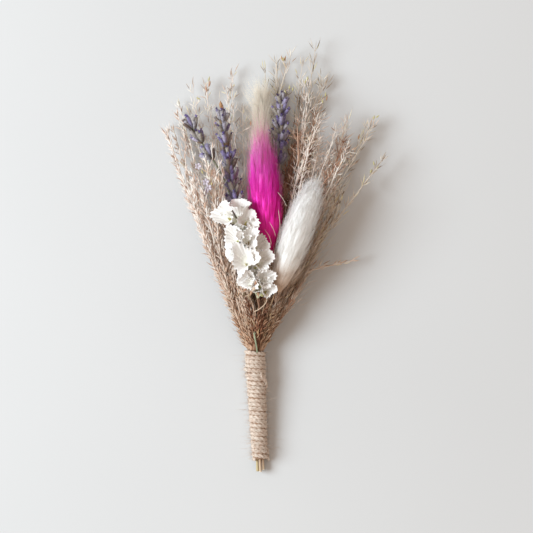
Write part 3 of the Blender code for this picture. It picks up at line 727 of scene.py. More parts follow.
# the tint marks of the stem, its branches and its scales
greens = dict(stem=0.3, branch=0.4, scales=(0.5, 1.0))
cupLook = dict(around=84, wave=0.08, lobes=0.17, teeth=0.085, folds=0.036, wall=0.12)
# the small flower in a cup is the same surface, with five deep lobes
corollaLook = dict(around=30, wave=0.12, lobes=0.5, teeth=0.0, folds=0.06, wall=0.08)


def paperyFinish():
    # white paper with fine ribs that run to the rim, and a green tinge in the throat
    finish = Finish("papery_white", roughness=0.62, specular=0.2)
    throat = finish.ramp(finish.alongStrand(), (0.0, 226, 228, 188), (0.44, 238, 238, 216),
                         (0.62, 246, 243, 238), (1.0, 248, 244, 240))
    ribs = finish.streaks(2.0, 46.0)
    veins = finish.ramp(ribs, (0.3, 232, 229, 230), (0.55, *white))
    finish.colour(finish.mix(0.8, throat, veins, "MULTIPLY"))
    finish.bump(ribs, 0.16, 0.7)
    return finish


def greenFinish():
    # a stem that is straw in the binding, green above it and brown at its top, and scales
    finish = Finish("green_stem", roughness=0.7)
    streaks = finish.streaks(6.0, 7.0)
    fresh, straw, brown = (finish.ramp(streaks, (0.3, *dark), (0.7, *light)) for dark, light in (
        ((128, 140, 110), (184, 192, 164)), ((164, 146, 108), (212, 194, 152)),
        ((112, 78, 62), (160, 124, 98))))
    up = finish.alongStrand()
    stem = finish.passing(up, 0.56, 0.60, finish.passing(up, 0.40, 0.46, straw, fresh), brown)
    scales = finish.ramp(finish.mark("chance"), (0.0, 128, 92, 60), (0.45, 176, 166, 96),
                         (1.0, 206, 206, 150))
    finish.colour(finish.passing(finish.mark("tint"), 0.42, 0.52, stem, scales))
    finish.bump(streaks, 0.06)
    return finish


def paperyCups(pile, roots, centres, facings, radii, look):
    # rings up the outer wall to the rim and back down the inner wall to the throat. A ring is
    # square to a way that turns from root to rim, and wide as a power of its height. Five lobes,
    # waves, 17 folds and 19 teeth move its points out and along that way, most at the rim
    rng = pile.rng
    n = len(roots)
    up = np.concatenate([np.linspace(0.0, 1.0, 9)**0.8, np.linspace(1.0, 0.56, 7)])
    inner = np.repeat([0.0, 1.0], (9, 7))[:, None]
    s, turn = up[:, None], roundTurns(look["around"])
    far = np.linalg.norm(centres - roots, axis=1)[:, None]
    leave = (unit(unit(centres - roots) * 0.6 + vec(0, 0.4, 0.2)) * far)[:, None]
    arrive = (facings * far)[:, None]
    middle = hermite(roots[:, None], centres[:, None], leave, arrive, s)
    way = unit(leave * (1 - s)**1.5 + arrive * np.maximum(s, 0.05))
    across, over = squareTo(way, vec(0.31, 0.22, -0.1))
    phase = rng.uniform(0, fullTurn, (6, n, 1, 1))
    size = rng.uniform(0.7, 1.35, (4, n, 1, 1))
    notch = 1 - np.abs(np.cos(2.5 * turn + phase[0] / 2))**0.5
    wave = look["wave"] * s**2 * (size[0] * (0.5 - 1.4 * notch)
                                  + 0.8 * size[1] * np.cos(2 * turn + phase[1])
                                  + 0.18 * s**2 * np.cos(13 * turn + phase[2]))
    saw = np.abs((19 * turn / fullTurn + phase[5]) % 1.0 - 0.5) * 4 - 1
    outward = (1 - look["lobes"] * s**3 * notch + 0.16 * s**2 * size[2] * np.cos(3 * turn + phase[3])
               + look["folds"] * np.sin(s * math.pi / 2) * np.cos(17 * turn + phase[5])
               + look["teeth"] * s**10 * saw)
    reach = radii[:, None, None]
    width = reach * (0.10 + 0.90 * s**1.9) * outward - inner * look["wall"]
    rings = ringsOn(*(part[:, :, None] for part in (middle, way, across, over)),
                    reach * wave, width, turn)
    pile.ringed(rings, middle[:, 0] - way[:, 0] * 0.2, middle[:, -1] - way[:, -1] * 0.15, up)


def staticeHead():
    # gives back the points where the cups' branches leave the stem, and the middles of the cups
    pile = Pile(statice["seed"])
    rng = pile.rng
    spine = smoothThrough(statice["spine"], 0.5)
    long = lengthOf(spine)
    centres, facings, radii = (np.array(part, float) for part in zip(*statice["cups"]))
    n = statice["between"]
    place = atLengths(spine, rng.uniform(0.02, 0.98, n) * long)
    turn = np.radians(rng.uniform(-10, 190, n))
    out = np.stack([np.cos(turn), rng.uniform(-0.2, 0.5, n), np.sin(turn)], 1)
    centres = np.vstack([centres, place + unit(out) * rng.uniform(*statice["betweenOut"], n)[:, None]])
    facings = unit(np.vstack([facings, out + vec(0, 0.3, 0.2)]))
    radii = np.concatenate([radii, rng.uniform(*statice["betweenRadius"], n)])
    low, high = spine[0, 1], spine[-1, 1]
    shares = np.clip((centres[:, 1] - 6 - low) / (high - low), 0.03, 0.97)
    roots = atLengths(spine, shares * long)
    paperyCups(pile, roots, centres, facings, radii, cupLook)
    inner, faces = (centres + facings * 0.1)[::2], facings[::2]
    size = radii[::2] * rng.uniform(*statice["corollaShare"], len(inner))
    paperyCups(pile, inner - faces * statice["corollaDeep"], inner, faces, size, corollaLook)
    pile.piece("statice_cups", paperyFinish(), "statice_white", "statice_head")
    return rng, roots, centres


def staticeGreens(rng, roots, centres):
    # the stem, a green shoot that comes out on top of the binding, a short branch to each cup,
    # and pointed scales round its foot
    green = Pile(statice["seed"])
    low, middle, _ = statice["spine"]
    way = unit(middle - low)
    free = freePart(statice["mouth"], low - way * 0.3, way)
    top = smoothThrough(statice["spine"], 0.5)[8::14]
    stalk = smoothThrough([*boundPart(statice), *free[::3], *top], 1.0)
    roundStem(green, stalk, statice["stalk"], sides=12, tint=greens["stem"], knots=0.12)
    shoot = smoothThrough(statice["shoot"], 0.7)
    green.strands(shoot[None], statice["shootStalk"], 8, tint=greens["stem"], along=0.51)
    towards = centres - roots
    start, reach = roots[:, None], (towards * statice["branchShare"])[:, None]
    branches = hermite(start, start + reach, vec(0, 5, 0), reach * 0.8, evenly(7))
    green.strands(branches, np.linspace(*statice["branchStalk"], 5), 6, tint=greens["branch"])
    foot = np.repeat(roots + towards * statice["scaleFrom"], statice["scales"], axis=0)
    up = np.repeat(unit(towards), statice["scales"], axis=0)
    side, over = squareTo(up, vec(0.2, 0.3, 0.9))
    out = outAt(rng.uniform(0, fullTurn, len(foot)), side, over)[:, None]
    t = evenly(6)
    length = rng.uniform(*statice["scaleLength"], len(foot))[:, None, None]
    lines = foot[:, None] + up[:, None] * t * length + out * (0.35 + 0.9 * t - 0.5 * t**2) * 0.8
    green.strands(lines, vec(0.55, 0.8, 0.6, 0.28), 6, flat=0.3, facing=out,
                  tint=rng.uniform(*greens["scales"], len(foot)))
    green.piece("statice_greens", greenFinish(), "statice_green", "statice_stem")


staticeGreens(*staticeHead())
print("the statice is made")


# Lavender: whorls of ribbed calyces on a square stem, with grey down and dried florets

lavenders = {
    "left": dict(mouth=14, foot=5, cut=-7.4, base=vec(-20, 127, 10.5), tip=vec(-33, 147, 13.0),
                 whorls=3, each=8, seed=21),
    "middle": dict(mouth=3, foot=4, cut=-9.8, base=vec(-9.8, 107, 15.5), tip=vec(-17.4, 151, 14.5),
                   whorls=8, each=12, seed=22),
    "right": dict(mouth=6, foot=6, cut=-8.6, base=vec(8.6, 126, 12.0), tip=vec(10.2, 157, 13.5),
                  whorls=6, each=12, seed=23),
}
# The rings of a calyx and a floret go from the foot up the outside to the rim, and down the
# inside: up is their height and wide their radius, as shares of the whole one's.
calyx = dict(length=6.1, radius=0.98, sides=16, ribs=0.09, teeth=0.07, lean=(0.62, 0.24), down=80,
             up=vec(0.02, 0.14, 0.34, 0.58, 0.80, 0.97, 0.90, 0.62)[:, None],
             wide=vec(0.30, 0.62, 0.92, 1.0, 0.90, 0.84, 0.66, 0.46)[:, None],
             ribbed=vec(0.4, 1, 1, 1, 1, 0.6, 0, 0)[:, None], hint=vec(0.3, 0.5, 0.8))
floret = dict(sides=12, crumple=0.3, lips=0.35, up=vec(0.0, 0.4, 0.8, 1.0, 0.8, 0.4)[:, None],
              wide=vec(0.42, 0.48, 0.86, 1.0, 0.7, 0.3)[:, None])
# the tint marks of what a spike is made of
kinds = dict(calyx=0.2, floret=0.62, bract=0.75, stem=0.85, down=0.95)
# How uneven the whorls are along the stalk, and their calyces in turn, lean and place. Then how
# far off the stalk's middle these start, how far up the second tier does, which shares of them
# are missing or flower, how near the tip the whorls go, and how far below them the first tier is.
whorlLook = dict(along=0.16, turned=0.12, leaned=0.1, moved=0.35, out=0.35, tierUp=1.3,
                 missing=0.10, flowering=0.5, topShare=0.97, down=1.0)
bract = dict(each=4, length=3.4, lean=0.9, down=1.6)


def tubes(pile, roots, ways, hint, height, radius, turn, low, high, up, kind):
    # one tube on each root
    frame = (roots, ways, *squareTo(ways, hint))
    rings = ringsOn(*(part[:, None, None] for part in frame), height, radius, turn)
    pile.ringed(rings, roots + ways * low[:, None], roots + ways * high[:, None], up[:, 0],
                tint=kinds[kind])


def calyces(pile, roots, ways, lengths, radii):
    # a ribbed tube with a swollen middle and five teeth, open at the top
    up, turn = calyx["up"], roundTurns(calyx["sides"])
    rib = 1 + calyx["ribs"] * np.cos(8 * turn) * calyx["ribbed"]
    teeth = calyx["teeth"] * np.maximum(np.cos(5 * turn), 0) * (up > 0.9)
    tubes(pile, roots, ways, calyx["hint"], lengths[:, None, None] * (up + teeth),
          radii[:, None, None] * calyx["wide"] * rib, turn, 0 * lengths, lengths * 0.55, up, "calyx")


def florets(pile, mouths, ways, size):
    # what is left of a flower: a crumpled tube with two lips
    rng = pile.rng
    up, turn = floret["up"], roundTurns(floret["sides"])
    crumple = 1 + rng.uniform(-floret["crumple"], floret["crumple"], (len(mouths), 1, len(turn))) * up
    lips = floret["lips"] * np.cos(2 * turn) * up**2
    wide = size[:, None, None]
    tubes(pile, mouths, ways, rng.normal(0, 1, ways.shape), wide * (1.9 * up - 0.5 + lips),
          wide * 0.75 * floret["wide"] * crumple, turn, -size * 0.55, size * 0.05, up, "floret")


def downOn(pile, roots, ways, long, wide):
    # grey down on the calyces: short hairs that lean up, at random places round each
    rng = pile.rng
    many = len(roots) * calyx["down"]
    which = np.repeat(np.arange(len(roots)), calyx["down"])
    angle = rng.uniform(0, fullTurn, many)
    high = rng.uniform(0.1, 0.98, many)
    way = ways[which]
    out = outAt(angle, *squareTo(way, calyx["hint"]))
    girth = wide[which] * np.interp(high, (0, 0.34, 0.58, 1), (0.3, 0.92, 1.0, 0.84))
    foot = roots[which] + way * (high * long[which])[:, None] + out * girth[:, None] * 0.97
    ahead = foot + (out + way) * 0.7 * rng.uniform(0.25, 0.6, many)[:, None]
    lines = np.stack([foot, (foot + ahead) / 2 + out * 0.03, ahead], 1)
    pile.strands(lines, 0.034, 3, tint=kinds["down"])


def bracts(pile, stalk, lengths):
    # brown, flat and pointed, each at a length along the stalk
    roll = pile.rng.uniform(0, 6.28, len(lengths))
    place, way, _, out = growth(stalk, lengths, bract["lean"], roll)
    t = evenly(6)
    lines = place[:, None] + way[:, None] * t * bract["length"] + vec(0, 0.4, 0) * t**2
    pile.strands(lines, vec(0.5, 0.95, 0.7, 0.3), 6, tint=kinds["bract"], flat=0.25,
                 facing=out[:, None])


def lavenderFinish():
    # calyces violet to grey brown, florets deep violet, bracts brown, stem grey green
    finish = Finish("dried_lavender", roughness=0.75, specular=0.2, sheen=0.35,
                    sheenTint=srgb(214, 210, 226))
    chance = finish.mark("chance")
    violet = finish.ramp(chance, (0.0, 108, 86, 74), (0.24, 184, 176, 162), (0.46, 182, 177, 186),
                         (0.66, 156, 146, 184), (0.86, 138, 126, 172), (1.0, 220, 212, 230))
    foot = finish.ramp(finish.alongStrand(), (0.05, 168, 166, 140), (0.70, *white))
    mottled = finish.ramp(finish.grain(0.9), (0.35, 200, 196, 200), (0.65, *white))
    colour = finish.times(finish.mix(0.75, violet, foot, "MULTIPLY"), mottled)
    flower = finish.ramp(chance, (0.0, 80, 64, 94), (0.6, 104, 87, 146), (1.0, 146, 130, 186))
    dry = finish.ramp(chance, (0.0, 92, 70, 52), (1.0, 150, 126, 96))
    stalk = finish.ramp(chance, (0.0, 110, 112, 88), (1.0, 140, 138, 112))
    kind = finish.mark("tint")
    for start, other in ((0.40, flower), (0.70, dry), (0.80, stalk), (0.90, srgb(226, 220, 228))):
        colour = finish.passing(kind, start, start + 0.01, colour, other)
    finish.colour(colour)
    finish.bump(finish.streaks(6.0, 16.0, detail=2), 0.08, 0.8)
    return finish


def lavenderSpike(pile, spike):
    # calyces in whorls, at even turns round the stalk in two tiers, and smaller to the tip
    rng = pile.rng
    look = whorlLook
    base, axis = spike["base"], spike["tip"] - spike["base"]
    free = freePart(spike["mouth"], base, unit(axis))
    top = base + axis * np.linspace(0.08, 0.95, 8)[:, None]
    stalk = smoothThrough([*boundPart(spike), *free[::3], *top], 1.2)
    roundStem(pile, stalk, stemRadius, sides=8, tint=kinds["stem"], chance=0.5, tip=0.6)
    count, each = spike["whorls"], spike["each"]
    whorl = (np.arange(count) + 0.3 + rng.uniform(-look["along"], look["along"], count)) / count
    below = lengthOf(stalk) - np.linalg.norm(axis) * (1 - whorl) * look["topShare"]
    n = count * each
    turn = (np.tile(np.arange(each), count) * 2 * fullTurn / each
            + np.repeat(rng.uniform(0, 6, count), each) + rng.normal(0, look["turned"], n))
    tier = np.tile(np.arange(each) >= each / 2, count)
    lean = np.where(tier, calyx["lean"][1], calyx["lean"][0]) + rng.normal(0, look["leaned"], n)
    lengths = (np.repeat(below, each) - look["down"] + tier * look["tierUp"]
               + rng.normal(0, look["moved"], n))
    place, way, _, out = growth(stalk, lengths, lean, turn)
    kept = rng.random(n) > look["missing"]
    way, roots = way[kept], (place + out * look["out"])[kept]
    n = len(roots)
    size = np.interp(np.repeat(whorl, each)[kept], (0, 1), (1.05, 0.82)) * rng.uniform(0.85, 1.12, n)
    long = calyx["length"] * size
    wide = calyx["radius"] * size * rng.uniform(0.8, 1.05, n)
    calyces(pile, roots, way, long, wide)
    mouths = roots + way * (long * 0.97)[:, None]
    flowering = rng.random(n) < look["flowering"]
    florets(pile, mouths[flowering], way[flowering], (wide * 0.85)[flowering])
    downOn(pile, roots, way, long, wide)
    bracts(pile, stalk, np.repeat(below, bract["each"]) - bract["down"])


lavenderLook = lavenderFinish()
for name, spike in lavenders.items():
    whorls = Pile(spike["seed"])
    lavenderSpike(whorls, spike)
    whorls.piece(f"lavender_{name}_spike", lavenderLook, "lavender", f"lavender_{name}")
print("the lavender is made")


# Grasses: stalks with branchlets that carry slender spikelets, each with a fine awn. Every spray
# has several stalks beside the one that the model has.

looks = {
    "close": dict(apart=2.8, branch=3.6, lean=0.34, spikes=3, spike=3.9, thick=0.40, awn=2.0,
                  stalk=0.46, branchThick=0.15, flatten=0.9, splay=(0.28, 0.62)),
    "airy": dict(apart=4.0, branch=3.4, lean=0.36, spikes=2, spike=3.7, thick=0.36, awn=1.6,
                 stalk=0.36, branchThick=0.14, flatten=0.8, splay=(0.28, 0.60)),
    "rough": dict(apart=1.4, branch=2.6, lean=0.34, spikes=2, spike=4.6, thick=0.32, awn=9.0,
                  stalk=0.42, branchThick=0.12, flatten=0.9, splay=(0.10, 0.42)),
    "open": dict(apart=5.0, branch=6.0, lean=0.55, spikes=3, spike=3.6, thick=0.27, awn=1.0,
                 stalk=0.28, branchThick=0.13, flatten=0.6, splay=(0.30, 0.65)),
    "twig": dict(apart=5.6, branch=5.2, lean=0.60, spikes=2, spike=4.0, thick=0.28, awn=0.8,
                 stalk=0.27, branchThick=0.13, flatten=0.5, splay=(0.30, 0.60)),
    "plume": dict(apart=4.0, branch=7.0, lean=0.66, spikes=3, spike=4.0, thick=0.21, awn=0.5,
                  stalk=0.42, branchThick=0.21, flatten=0.7, splay=(0.45, 0.95)),
}
# A spray's forks are a share of the stalk and a tip. Its more stalks end in a spread of across,
# back and up from its tip, and those beside it leave the binding at an angle for a tip, in a
# tint. The stalks take the tints in turn, and are bristly up to a share of their length.
grasses = {
    "left_edge": dict(
        mouth=12, tip=vec(-41.2, 140.5, 9.0), bow=(-1.5, 0, 0.0), look="airy", tint=(0.15,),
        forks=[(0.52, (-36.5, 126.0, 15.0)), (0.70, (-33.0, 138.0, 4.5))], more=1,
        spread=(4, 12, 4), bristly=0.5, seed=43,
    ),
    "left_low": dict(
        mouth=13, tip=vec(-35.5, 152.0, 5.0), bow=(-0.5, 0, -1.4), look="airy", tint=(0.35, 0.1),
        forks=[(0.45, (-26.0, 112.0, 0.6))], more=2, spread=(5, 14, 2), bristly=0.5, seed=32,
    ),
    "left_front": dict(
        mouth=4, tip=vec(-29.5, 121.0, 19.5), bow=(-1.5, 0, 1.0), look="close", tint=(0.1,),
        forks=[(0.55, (-25.0, 113.0, 23.5))], more=3, spread=(5, 14, 5), bristly=0.0, seed=33,
    ),
    "left_tall": dict(
        mouth=15, tip=vec(-24.5, 163.5, 5.6), bow=(-1.0, 0, -1.2), look="open", tint=(0.4,),
        forks=[(0.66, (-20.0, 148.0, 3.6))], more=3, spread=(6, 18, 2), bristly=0.55, seed=34,
    ),
    "back_left": dict(
        mouth=16, tip=vec(-12.5, 168.0, 3.6), bow=(-1.6, 0, -1.0), look="open", tint=(0.5,),
        forks=[], more=2, spread=(6, 20, 2), bristly=0.5, seed=35,
    ),
    "back_right": dict(
        mouth=5, tip=vec(7.5, 175.0, 5.0), bow=(2.4, 0, -1.0), look="twig", tint=(0.85, 0.6),
        forks=[(0.80, (13.4, 173.0, 8.5))], more=3, spread=(7, 22, 3), bristly=0.35, seed=44,
    ),
    "tall": dict(
        mouth=17, tip=vec(25.4, 180.6, 7.0), bow=(1.5, 0, -1.2), look="twig", tint=(0.8, 0.5, 0.7),
        forks=[(0.62, (21.5, 160.0, 10.5)), (0.70, (31.5, 166.0, 4.0))], more=4,
        spread=(7, 22, 3), bristly=0.35, seed=37,
    ),
    "right_high": dict(
        mouth=18, tip=vec(50.5, 147.5, 6.5), bow=(-1.0, 0, -1.2), look="twig", tint=(0.75, 0.4),
        forks=[(0.58, (39.5, 149.5, 9.5)), (0.42, (31.0, 112.0, 0.6))], more=2,
        spread=(5, 16, 3), bristly=0.40, seed=38,
    ),
    "right_edge": dict(
        mouth=7, tip=vec(54.6, 128.4, 12.0), bow=(-2.0, 0, 0.5), look="airy", tint=(0.7, 0.4),
        forks=[(0.34, (43.5, 84.0, 7.0)), (0.62, (36.0, 112.0, 16.5))], more=0,
        spread=(7, 14, 5), bristly=0.36, seed=39, besideLook="rough", besideFrom=0.28,
        beside=[(10, (34.0, 110.0, 14.0), 0.4), (26, (30.5, 102.0, 12.0), 1.12),
                (350, (27.0, 92.0, 9.0), 0.3), (20, (33.0, 116.0, 13.0), 0.3),
                (0, (24.0, 84.0, 8.0), 0.2), (14, (20.0, 76.0, 11.0), 0.1)],
    ),
    "plume_right": dict(
        mouth=1, tip=vec(34.5, 143.0, 17.5), bow=(1.0, 0, -3.0), look="plume", tint=(0.2, 0.3, 1.3),
        forks=[(0.50, (26.5, 134.0, 14.5)), (0.62, (38.5, 131.5, 20.0))], more=4,
        spread=(7, 18, 6), bristly=0.35, seed=40,
        beside=[(52, (9, 72, 14), 0.1), (38, (12, 78, 10), 0.2), (64, (5.5, 65, 20), 1.12),
                (24, (12, 70, 8), 0.0), (76, (2.0, 68, 24), 1.3), (44, (7.5, 62, 15), 0.3)],
    ),
    "plume_middle": dict(
        mouth=2, tip=vec(21.0, 152.5, 19.5), bow=(3.5, 0, -2.0), look="plume", tint=(0.2, 0.3, 1.3),
        forks=[(0.66, (27.0, 146.0, 23.0)), (0.74, (16.5, 143.0, 22.0))], more=4,
        spread=(7, 18, 7), bristly=0.35, seed=41,
        # its stalks beside are umber and lie low under the plume: brown grass, and darker as painted
        # shade in the hollow under it
        beside=[(80, (14.5, 132.0, 9.0), 1.3), (60, (12.0, 124.0, 8.0), 1.3),
                (70, (19.0, 136.0, 7.0), 1.3), (100, (11.0, 112.0, 9.5), 1.3),
                (90, (16.5, 120.0, 8.5), 1.3), (66, (21.0, 131.0, 10.5), 1.3),
                (56, (23.5, 137.0, 11.0), 1.3), (74, (17.5, 141.0, 8.0), 1.3)],
    ),
    "left_inner": dict(
        mouth=11, tip=vec(-22.5, 134.5, 20.5), bow=(-3.0, 0, 0.5), look="close", tint=(0.2,),
        forks=[(0.60, (-16.0, 124.0, 22.5))], more=3, spread=(6, 18, 6), bristly=0.0, seed=42,
        beside=[(112, (-7, 82, 19), 0.2), (98, (-3.5, 72, 23), 0.4), (86, (-0.5, 67, 24), 1.3),
                (126, (-10, 86, 17), 0.0), (104, (-5, 66, 20), 1.2), (120, (-8, 70, 17), 0.3)],
    ),
}


# How the stalks beside a spray and its more stalks leave the binding, how every stalk wavers, and
# how many spikelets have an awn, how long it is as a share of the look's, and how far it strays.
beside = dict(stalk=0.36, out=3.3, bow=(0.8, 0, 0.5), below=1.0, points=18)
moreStalks = dict(below=1.5, turned=16, inwards=0.5, outwards=0.25, bowed=(0.4, 1.6), stray=0.9)
wavering = dict(size=0.22, waves=3, longest=26)
awned = dict(share=0.75, length=(0.4, 1.4), stray=0.14, inside=0.5)


def strawFinish():
    # straw from brown to cream by each strand's chance, in tints that pass from warm to pale and
    # olive. Over 1 they step to umber, orange, lilac, yellow green and cream
    finish = Finish("dry_straw", roughness=0.62, sheen=0.1)
    chance = finish.mark("chance")
    warm = finish.ramp(chance, (0.0, 196, 150, 124), (0.22, 246, 220, 202), (0.6, 255, 243, 233),
                       (0.93, 255, 253, 250), (1.0, 246, 200, 172))
    pale = finish.ramp(chance, (0.0, 160, 134, 112), (0.16, 216, 190, 168), (0.34, 248, 230, 216),
                       (0.75, 255, 250, 244), (1.0, 244, 232, 186))
    olive = finish.ramp(chance, (0.0, 112, 98, 76), (0.34, 170, 154, 128), (0.56, 226, 212, 194),
                        (0.85, 248, 238, 222), (1.0, 218, 208, 150))
    umber = finish.ramp(chance, (0.0, 124, 82, 62), (0.5, 178, 132, 106), (1.0, 222, 192, 168))
    tint = finish.mark("tint")
    colour = finish.passing(tint, 0.05, 0.45, warm, pale)
    colour = finish.passing(tint, 0.50, 0.85, colour, olive)
    others = (umber, srgb(182, 140, 102), srgb(214, 206, 218), srgb(204, 198, 146), srgb(250, 240, 224))
    for step, other in enumerate(others):
        colour = finish.passing(tint, step + 1.10, step + 1.15, colour, other)
    streaks = finish.streaks(5.0, 5.0)
    lengthwise = finish.ramp(streaks, (0.35, 236, 229, 224), (0.62, *white))
    # browner near the binding
    up = finish.add("ShaderNodeSeparateXYZ", Vector=finish.place()).outputs["Y"]
    browner = finish.ramp(finish.spread(up, 50 * mm, 110 * mm), (0.0, 212, 189, 168), (1.0, *white))
    finish.colour(finish.times(colour, lengthwise, browner))
    finish.bump(streaks, 0.05, 0.8)
    return finish


def spikelets(pile, place, way, length, thick, tint):
    # a slender four-sided body, widest below its middle. Gives back its tip, and its way and
    # chance, for an awn
    rng = pile.rng
    bend = rng.normal(0, 0.10, way.shape) * length[:, None]
    t = vec(0.0, 0.18, 0.45, 0.75, 1.0)[:, None]
    lines = place[:, None] + way[:, None] * t * length[:, None, None] + bend[:, None] * t**2
    keepOff(lines, "spikelet")
    chance = rng.random(len(place))
    pile.strands(lines, thick[:, None] * vec(0.72, 1.0, 0.58), 4, tint=tint, chance=chance, flat=0.7)
    return lines[:, -1], unit(lines[:, -1] - lines[:, -2]), chance


def branchlets(pile, line, look, tint, low, high):
    # at even steps between two shares of a stalk, shorter to its tip, on both sides in turn.
    # Gives back those that lie in no head
    rng = pile.rng
    whole = lengthOf(line)
    lengths = np.arange(low * whole + 2.0, high * whole - 1.0, look["apart"])
    lengths = np.repeat(lengths + rng.normal(0, 0.25 * look["apart"], len(lengths)), 2)
    lengths = np.clip(lengths, 0.5, whole - 0.8)
    n = len(lengths)
    if not n:
        return []
    roll = rng.uniform(0, math.pi, n) * 0.5 + math.pi * (np.arange(n) % 2) - math.pi / 4
    lean = look["lean"] * rng.uniform(0.6, 1.4, n)
    place, way, stalkWay, out = growth(line, lengths, lean, roll, look["flatten"])
    left = (whole - lengths) / whole
    size = (look["branch"] * rng.uniform(0.45, 1.1, n) * (0.45 + 0.75 * left))[:, None, None]
    t = evenly(5)
    curl = stalkWay * 0.22 + rng.normal(0, 0.10, (n, 3)) - out * 0.12
    lines = keepOff(place[:, None] + (way[:, None] * t + curl[:, None] * t**2) * size, "branch")
    depth, _ = awayFromHeads(lines[:, 3])
    lines = lines[depth <= 0]
    if len(lines):
        pile.strands(lines, look["branchThick"] * vec(1.0, 0.85, 0.7), 3, tint=tint,
                     chance=rng.uniform(0.3, 0.85, len(lines)))
    return lines


def awns(pile, places, ways, length, tint, chance):
    # a fine bristle of three points from inside each spikelet's tip, a little off its way
    rng = pile.rng
    long = (length * rng.uniform(*awned["length"], len(places)))[:, None]
    start = places - ways * awned["inside"]
    stray = rng.normal(0, awned["stray"], start.shape)
    middle = start + (ways + stray * 0.3) * (long * 0.5 + 0.4)
    end = start + (ways + stray) * (long + 0.5)
    pile.strands(keepOff(np.stack([start, middle, end], 1), "hair"), 0.05 + 0.004 * length, 3,
                 tint=min(tint, 0.8), chance=np.clip(chance + 0.3, 0, 0.9))


def sprayAlong(pile, line, look, tint, low, high):
    # branchlets along a stalk, with spikelets at even shares of each that splay to its sides in
    # turn, the last one nearly straight on. Three in four have an awn
    rng = pile.rng
    lines = branchlets(pile, line, look, tint, low, high)
    if not len(lines):
        return
    k = look["spikes"]
    share = np.tile((np.arange(k) + 1) / k, len(lines)) * 4
    which = np.repeat(np.arange(len(lines)), k)
    cell = np.minimum(share.astype(int), 3)
    a, b = lines[which, cell], lines[which, cell + 1]
    place = a + (b - a) * (share - cell)[:, None]
    branchWay = unit(b - a)
    side = unit(np.cross(branchWay, rng.normal(0, 0.5, place.shape) + skyward))
    sign = np.where(np.arange(k) % 2, 1.0, -1.0)
    sign[-1] = 0.15
    splay = (np.tile(sign, len(lines)) * rng.uniform(*look["splay"], len(place)))[:, None]
    way = unit(branchWay * np.cos(splay) + side * np.sin(splay))
    long = look["spike"] * rng.uniform(0.65, 1.15, len(place))
    end = place + way * long[:, None]
    depth, _ = awayFromHeads(end, -0.8)
    kept = (depth <= 0) & (end[:, 2] > lowest["spikelet"]) & (place[:, 1] > bundle["high"] - 1.5)
    thick = look["thick"] * rng.uniform(0.8, 1.15, len(place))
    tips, ways, chance = spikelets(pile, place[kept], way[kept], long[kept], thick[kept], tint)
    some = rng.random(len(tips)) < awned["share"]
    awns(pile, tips[some], ways[some], look["awn"], tint, chance[some])


def stalksOf(rng, grass):
    # the main stalk, its forks, and more that leave the binding near it for tips near its own.
    # Each is a line and the share of it that is bristly
    main = freePart(grass["mouth"], grass["tip"], bow=grass["bow"], count=40)
    yield main, grass["bristly"]
    for share, tip in grass["forks"]:
        yield forkOf(main, share, vec(*tip)), 0.0
    more = moreStalks
    across, back, high = grass["spread"]
    turn, ring = slotPlace(grass["mouth"])
    for _ in range(grass["more"]):
        tip = grass["tip"] + vec(rng.uniform(-across, across), -rng.uniform(0, back),
                                 rng.uniform(-high, high * 0.6))
        tip[2] = max(tip[2], 1.0)
        bow = np.array(grass["bow"]) * rng.uniform(*more["bowed"]) + rng.normal(0, more["stray"], 3)
        start = roundHandle(bundle["high"] - more["below"],
                            turn + rng.uniform(-more["turned"], more["turned"]),
                            max(ring + rng.uniform(-more["inwards"], more["outwards"]), 0.6))
        yield freePart(grass["mouth"], tip, bow=bow, start=start, count=40), grass["bristly"]


def besideStalks(pile, grass):
    # short stalks that come out round the mouth of the binding
    look = looks[grass.get("besideLook", "close")]
    for turn, tip, tint in grass.get("beside", []):
        start = roundHandle(bundle["high"] - beside["below"], turn, beside["out"])
        line = freePart(0, vec(*tip), bow=beside["bow"], start=start, count=30)
        fine = atLengths(clearLine(line), np.linspace(0, lengthOf(line), beside["points"]))
        radii = beside["stalk"] * np.linspace(1.1, 0.5, beside["points"] - 2)
        pile.strands(fine[None], radii, 6, tint=tint, chance=0.4)
        sprayAlong(pile, fine, look, tint, grass.get("besideFrom", 0.0), 1.0)


def grassSpray(pile, grass):
    # each stalk is cleared of the heads, and wavers a little but for its first sixth. Its part up
    # to the bristly share is close, and the rest has the look of the grass. Gives back its points
    rng = pile.rng
    look = looks[grass["look"]]
    stalks = list(stalksOf(rng, grass))
    besideStalks(pile, grass)
    lines = []
    for i, (line, upTo) in enumerate(stalks):
        tint = grass["tint"][i % len(grass["tint"])]
        line = clearLine(line)
        whole = lengthOf(line)
        fine = evenPoints(line, max(10, int(whole / 3.2)))
        n = len(fine)
        sideways = wander(rng, np.linspace(0, whole, n), **wavering)[:, None]
        fine += sideways * vec(1, 0, 0.5) * np.minimum(1, 6 * evenly(n))
        keepOff(fine, "stalk")
        radii = look["stalk"] * np.linspace(1.15, 0.45, n - 2)
        pile.strands(fine[None], radii, 6, tint=tint, chance=rng.uniform(0.5, 0.85))
        lines.append(fine)
        if upTo:
            sprayAlong(pile, fine, looks["close"], tint, 0.0, upTo)
        sprayAlong(pile, fine, look, tint, upTo, 1.0)
    return np.concatenate(lines)


def threads(pile, places, stalks):
    # a fine stem to each place from the nearest point of the stalks that lies below it
    for place in places:
        below = stalks[stalks[:, 1] < place[1] - 1.0]
        start = below[np.linalg.norm(below - place, axis=1).argmin()]
        line = hermite(start, place, vec(0, 2, 0), vec(0, 1.5, 0), evenly(6))
        pile.strands(line[None], 0.13, 4, tint=0.4)


